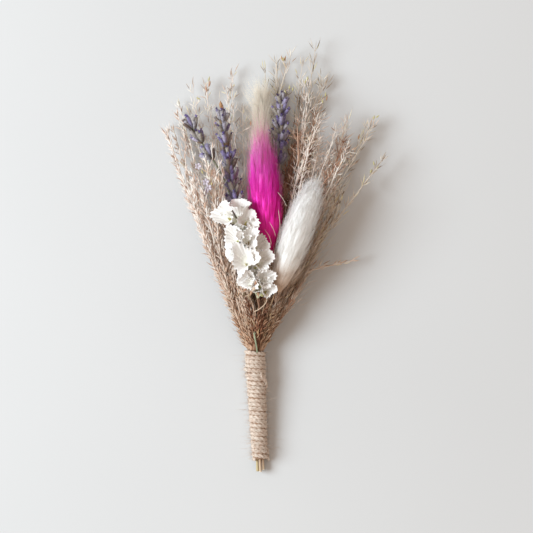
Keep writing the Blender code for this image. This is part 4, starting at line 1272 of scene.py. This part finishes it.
def blooms(pile, places, petal, tint):
    # tiny flowers: five flat petals round each place, that rise as they go out
    n = len(places)
    turn = np.repeat(pile.rng.uniform(0, 6.28, n), 5) + np.tile(np.arange(5) * 1.257, n)
    out = np.stack([np.cos(turn), np.sin(turn), 0.35 + 0 * turn], 1)
    lines = np.repeat(places, 5, axis=0)[:, None] + out[:, None] * evenly(5) * petal
    pile.strands(lines, petal * vec(0.18, 0.36, 0.26), 8, tint=tint, flat=0.3, facing=skyward)


def buds(pile, places, ways, length, thick, tint):
    # plump pointed buds, widest a third of the way up
    lines = places[:, None] + unit(ways)[:, None] * evenly(7) * length
    pile.strands(lines, thick * vec(0.6, 0.95, 1.0, 0.75, 0.35), 8, tint=tint)


# Small finds of the photograph: buds as places and ways, lilac flowers as places, and cream
# strands and hairs as lines.
finds = {
    "left_inner": dict(
        lilac=[(-23.4, 117.6, 22.6), (-22.2, 115.2, 23.0), (-23.8, 113.4, 22.6), (-26.8, 124.6, 20.0)],
        green=[((-21.0, 115.6, 23.0), (0.1, 1, 0.3)), ((-24.6, 121.0, 21.5), (-0.4, 1, 0.2))],
        cream=[[(-2.6, 60.8, 21.0), (0.4, 62.4, 23.6), (2.8, 64.8, 24.6), (3.7, 69.4, 25.4)]],
        umber=[((-3.0, 70.6, 26.4), (-0.4, -1, 0.3)), ((-0.8, 70.2, 25.2), (0.2, -1, 0.3)),
               ((-5.0, 71.4, 26.0), (-0.9, -0.6, 0.2)), ((-2.2, 72.4, 27.4), (0.5, 1, 0.2))],
        brown=[((-4.0, 69.2, 25.8), (-0.5, -1, 0.2)), ((-1.6, 71.8, 27.0), (-0.8, -1, 0.3)),
               ((-5.8, 69.6, 24.6), (-0.8, -1, 0.1))],
    ),
    "left_tall": dict(
        orange=[((-16.8, 150.0, 14.8), (-0.10, 1, 0.05))],
        umber=[((-16.4, 148.6, 15.0), (0.12, 1, 0.05)), ((-23.2, 157.5, 6.6), (-0.2, 1, 0.1)),
               ((-22.4, 159.8, 6.8), (0.2, 1, 0.1))],
        green=[((-22.6, 162.5, 6.6), (0.3, 1, 0.1)), ((-26.0, 154.5, 6.0), (-1, 0.4, 0.1))],
        hairs=[[(-17.2, 153.6, 14.9), (-17.5, 156.0, 15.0), (-17.5, 158.6, 15.2)]],
    ),
    "back_left": dict(amber=[((-3.8, 142.2, 16.5), (0.0, 1, 0.1))]),
    "back_right": dict(
        amber=[((10.3, 171.2, 8.0), (-0.3, 1, 0.1)), ((10.8, 171.2, 8.0), (0.35, 1, 0.1))],
        green=[((10.5, 171.0, 8.2), (0.0, 1, 0.1)), ((14.4, 157.6, 12.0), (0.2, 1, 0.2)),
               ((11.8, 156.4, 14.5), (-0.4, 1, 0.2)), ((13.2, 158.4, 12.4), (0.0, 1, 0.3))],
    ),
    "tall": dict(
        green=[((20.2, 161.0, 11.0), (0.0, 1, 0.2)), ((20.9, 162.4, 11.0), (0.2, 1, 0.1)),
               ((29.0, 155.4, 9.0), (0.1, 1, 0.2)), ((28.0, 152.4, 9.0), (-0.2, 1, 0.2))],
        amber=[((29.4, 153.6, 9.4), (0.2, 1, 0.1))],
    ),
    "right_high": dict(
        amber=[((43.4, 136.6, 9.0), (0.3, 1, 0.1))],
        green=[((50.2, 145.4, 7.5), (0.3, 1, 0.1)), ((51.2, 146.2, 7.5), (0.8, 0.6, 0.1))],
    ),
    "plume_middle": dict(hairs=[
        [(7.7, 113.5, 24.0), (10.2, 110.4, 23.8), (12.1, 106.5, 22.4)],
        [(4.2, 100.3, 23.8), (6.0, 97.2, 24.0), (7.3, 93.3, 23.4)],
        [(2.0, 97.2, 24.6), (4.2, 94.0, 25.0), (5.5, 89.8, 24.6)],
        [(8.2, 106.0, 22.6), (9.0, 99.0, 22.8), (8.6, 92.0, 22.4)],
    ]),
    "right_edge": dict(
        green=[((48.7, 121.6, 12.0), (0.3, 1, 0.2)), ((50.5, 125.0, 12.2), (-0.2, 1, 0.2))],
    ),
}
findLooks = {
    "green": dict(length=2.3, thick=0.36, tint=4.5), "umber": dict(length=3.2, thick=0.52, tint=1.16),
    "orange": dict(length=3.6, thick=0.85, tint=2.5), "amber": dict(length=2.8, thick=0.34, tint=2.5),
    "brown": dict(length=2.6, thick=0.7, tint=0.9),
}
lilacLook = dict(petal=1.7, tint=3.5)


def addFinds(pile, found, stalks):
    # buds and flowers on fine stems, and cream strands and hairs
    for kind, look in findLooks.items():
        if kind in found:
            places, ways = (np.array(part, float) for part in zip(*found[kind]))
            buds(pile, places, ways, **look)
            threads(pile, places, stalks)
    if "lilac" in found:
        places = np.array(found["lilac"])
        blooms(pile, places, **lilacLook)
        threads(pile, places, stalks)
    for line in found.get("cream", []):
        pile.strands(smoothThrough(line, 0.8)[None], 0.36, 6, tint=5.5, flat=0.5)
    for line in found.get("hairs", []):
        pile.strands(smoothThrough(line, 1.2)[None], 0.10, 4, tint=5.5)


straw = strawFinish()
for name, grass in grasses.items():
    spray = Pile(grass["seed"])
    addFinds(spray, finds.get(name, {}), grassSpray(spray, grass))
    spray.piece(f"grass_{name}_spray", straw, "straw", f"grass_{name}")
print("the grasses are made")


# Jute twine: two plies twisted round each other, wound side by side up the handle. Two loose
# strands lie on the turns, each from one height and angle to another. The crossing one rises and
# sinks again, and the frayed one rises to its free end.

twine = dict(
    low=-5.3, radii=(3.6, 4.8), pitch=1.88, deep=0.64, lay=4.2, offset=(0.36, 0.15),
    ply=0.62, flat=0.74, perTurn=84, uneven=0.24, bulge=0.14, fibres=3400, seed=61,
)
looseTurn = dict(y=34.6, wide=1.0, proud=1.3)
lining = dict(rings=30, sides=40, proud=0.06)
crossing = dict(y=(33.6, 26.0), degrees=(62, -12), proud=1.15, under=0.35, power=0.6, points=46)
frayed = dict(y=(0.8, -5.6), degrees=(-8, -30), proud=1.35, under=0.2, power=0.5, points=16)


def windingPoint(y, turn, proud=0.0):
    # a point of the winding's middle line: at its turn round the handle, as far out as the
    # binding is wide there less the depth of the twine
    wide = np.interp(y, (twine["low"], bundle["high"]), twine["radii"]) - twine["deep"] + proud
    out = outAt(turn, vec(1, 0, 0), skyward)
    return handleMiddle(y) + out * wide[..., None], out


def twinePlies(pile, line, out):
    # both plies of a twine along a line: each is off its middle by the cosine of the lay across
    # the line and by the sine out from it
    way = unit(np.gradient(line, axis=0))
    across = unit(np.cross(out, way))
    over = np.cross(way, across)
    far = lengthsAlong(line)
    for ply in range(2):
        phase = fullTurn * far / twine["lay"] + math.pi * ply
        wide, deep = twine["offset"]
        path = keepOff(line + outAt(phase, across * wide, over * deep), "twine")
        radii = (twine["ply"] * (1 + wander(pile.rng, far, 0.10, 4, 14.0)))[1:-1]
        radii[[0, -1]] *= 0.6
        pile.strands(path[None], radii, 8, chance=0.5, flat=twine["flat"], facing=over[None],
                     along=far[1:-1] / 100)


def looseStrand(pile, strand, height):
    # a strand on the turns, as far off them at each share of its length as it is proud times a
    # power of the height there, less what it is under at its ends
    t = np.linspace(0, 1, strand["points"])
    y, degrees = (start + (end - start) * t for start, end in (strand["y"], strand["degrees"]))
    proud = strand["proud"] * height(t)**strand["power"] - strand["under"]
    twinePlies(pile, *windingPoint(y, np.radians(degrees), proud))


def looseFibres(pile, line, out):
    # out from the twine's surface: the root, plus a share times the twine's way and a way off it,
    # plus the share squared times a curve
    rng = pile.rng
    n = twine["fibres"]
    at = rng.integers(4, len(line) - 4, n)
    way, out = unit(line[at + 1] - line[at - 1]), out[at]
    root = line[at] + out * rng.uniform(0.25, 0.55, n)[:, None]
    root = root + vec(0, 1, 0) * rng.uniform(-0.8, 0.8, n)[:, None]
    length = rng.gamma(2.2, 0.75, n)[:, None]
    sign = np.where(rng.random(n) < 0.5, 1.0, -1.0)[:, None]
    stray = rng.normal(0, 0.35, (n, 3))
    t = vec(0.0, 0.3, 0.65, 1.0)[:, None]
    lean = rng.uniform(0.05, 0.75, n)[:, None]
    curve = rng.uniform(-0.3, 0.5, n)[:, None]
    first = (way * sign + stray + out * lean) * length
    lines = root[:, None] + first[:, None] * t + (out * curve * length)[:, None] * t**2
    pile.strands(keepOff(lines, "fibre"), vec(0.035, 0.028), 3, tint=0.9, chance=rng.random(n))


def twineFinish():
    # tan jute: fibres run along each ply, pale and darker ones, with painted shade in the gaps between
    # them
    finish = Finish("jute", roughness=0.85, specular=0.15, sheen=0.3, sheenTint=srgb(240, 222, 200))
    fibres = finish.streaks(60.0, 7.0, detail=5)
    fine = finish.ramp(fibres, (0.26, 168, 143, 123), (0.46, 218, 201, 186), (0.66, 235, 223, 210))
    broad = finish.ramp(finish.grain(2.6), (0.3, 238, 226, 220), (0.6, *white))
    # the lining, under tint 0.2, is dark brown: painted shade in the grooves between the turns
    finish.colour(finish.passing(finish.mark("tint"), 0.2, 0.3, srgb(158, 126, 104),
                                 finish.times(fine, broad)))
    finish.bump(fibres, 0.16, 0.9)
    return finish


def bindTwine():
    # the turns, the lining under them, a strand that crosses them on the right, the frayed end
    # low on the right, and the fibres
    pile = Pile(twine["seed"])
    turns = (bundle["high"] - twine["low"] - 1.6) / twine["pitch"]
    y = np.linspace(twine["low"] + 0.8, bundle["high"] - 0.8, int(turns * twine["perTurn"]))
    turn = -math.pi / 2 + fullTurn * y / twine["pitch"]
    places = turn / fullTurn
    uneven = wander(pile.rng, places, twine["uneven"], 6, 3.3)
    bulge = wander(pile.rng, places, twine["bulge"], 6, 2.1)
    line, out = windingPoint(y + uneven, turn, bulge * 0.6)
    # one turn stands proud on the left, as it does where the twine was wound loosely
    near = np.exp(-((y - looseTurn["y"]) / looseTurn["wide"])**2)
    line = line + out * (looseTurn["proud"] * near * np.maximum(np.cos(turn - math.pi), 0)**2)[:, None]
    twinePlies(pile, line, out)
    # the lining is tinted dark brown, as painted shade where it shows between the turns
    y = np.linspace(twine["low"] + 0.9, bundle["high"] - 0.6, lining["rings"])
    rings, _ = windingPoint(*np.meshgrid(y, roundTurns(lining["sides"]), indexing="ij"),
                            lining["proud"])
    pile.ringed(rings[None, :, ::-1], handleMiddle(y[:1]) - vec(0, 0.1, 0),
                handleMiddle(y[-1:]) + vec(0, 0.1, 0), np.linspace(0, 1, lining["rings"]), tint=0.1)
    looseStrand(pile, crossing, lambda t: np.sin(math.pi * t))
    looseStrand(pile, frayed, lambda t: t)
    looseFibres(pile, line, out)
    pile.piece("jute_twine", twineFinish(), "twine", "twine_binding")


bindTwine()
print("the twine is wound")
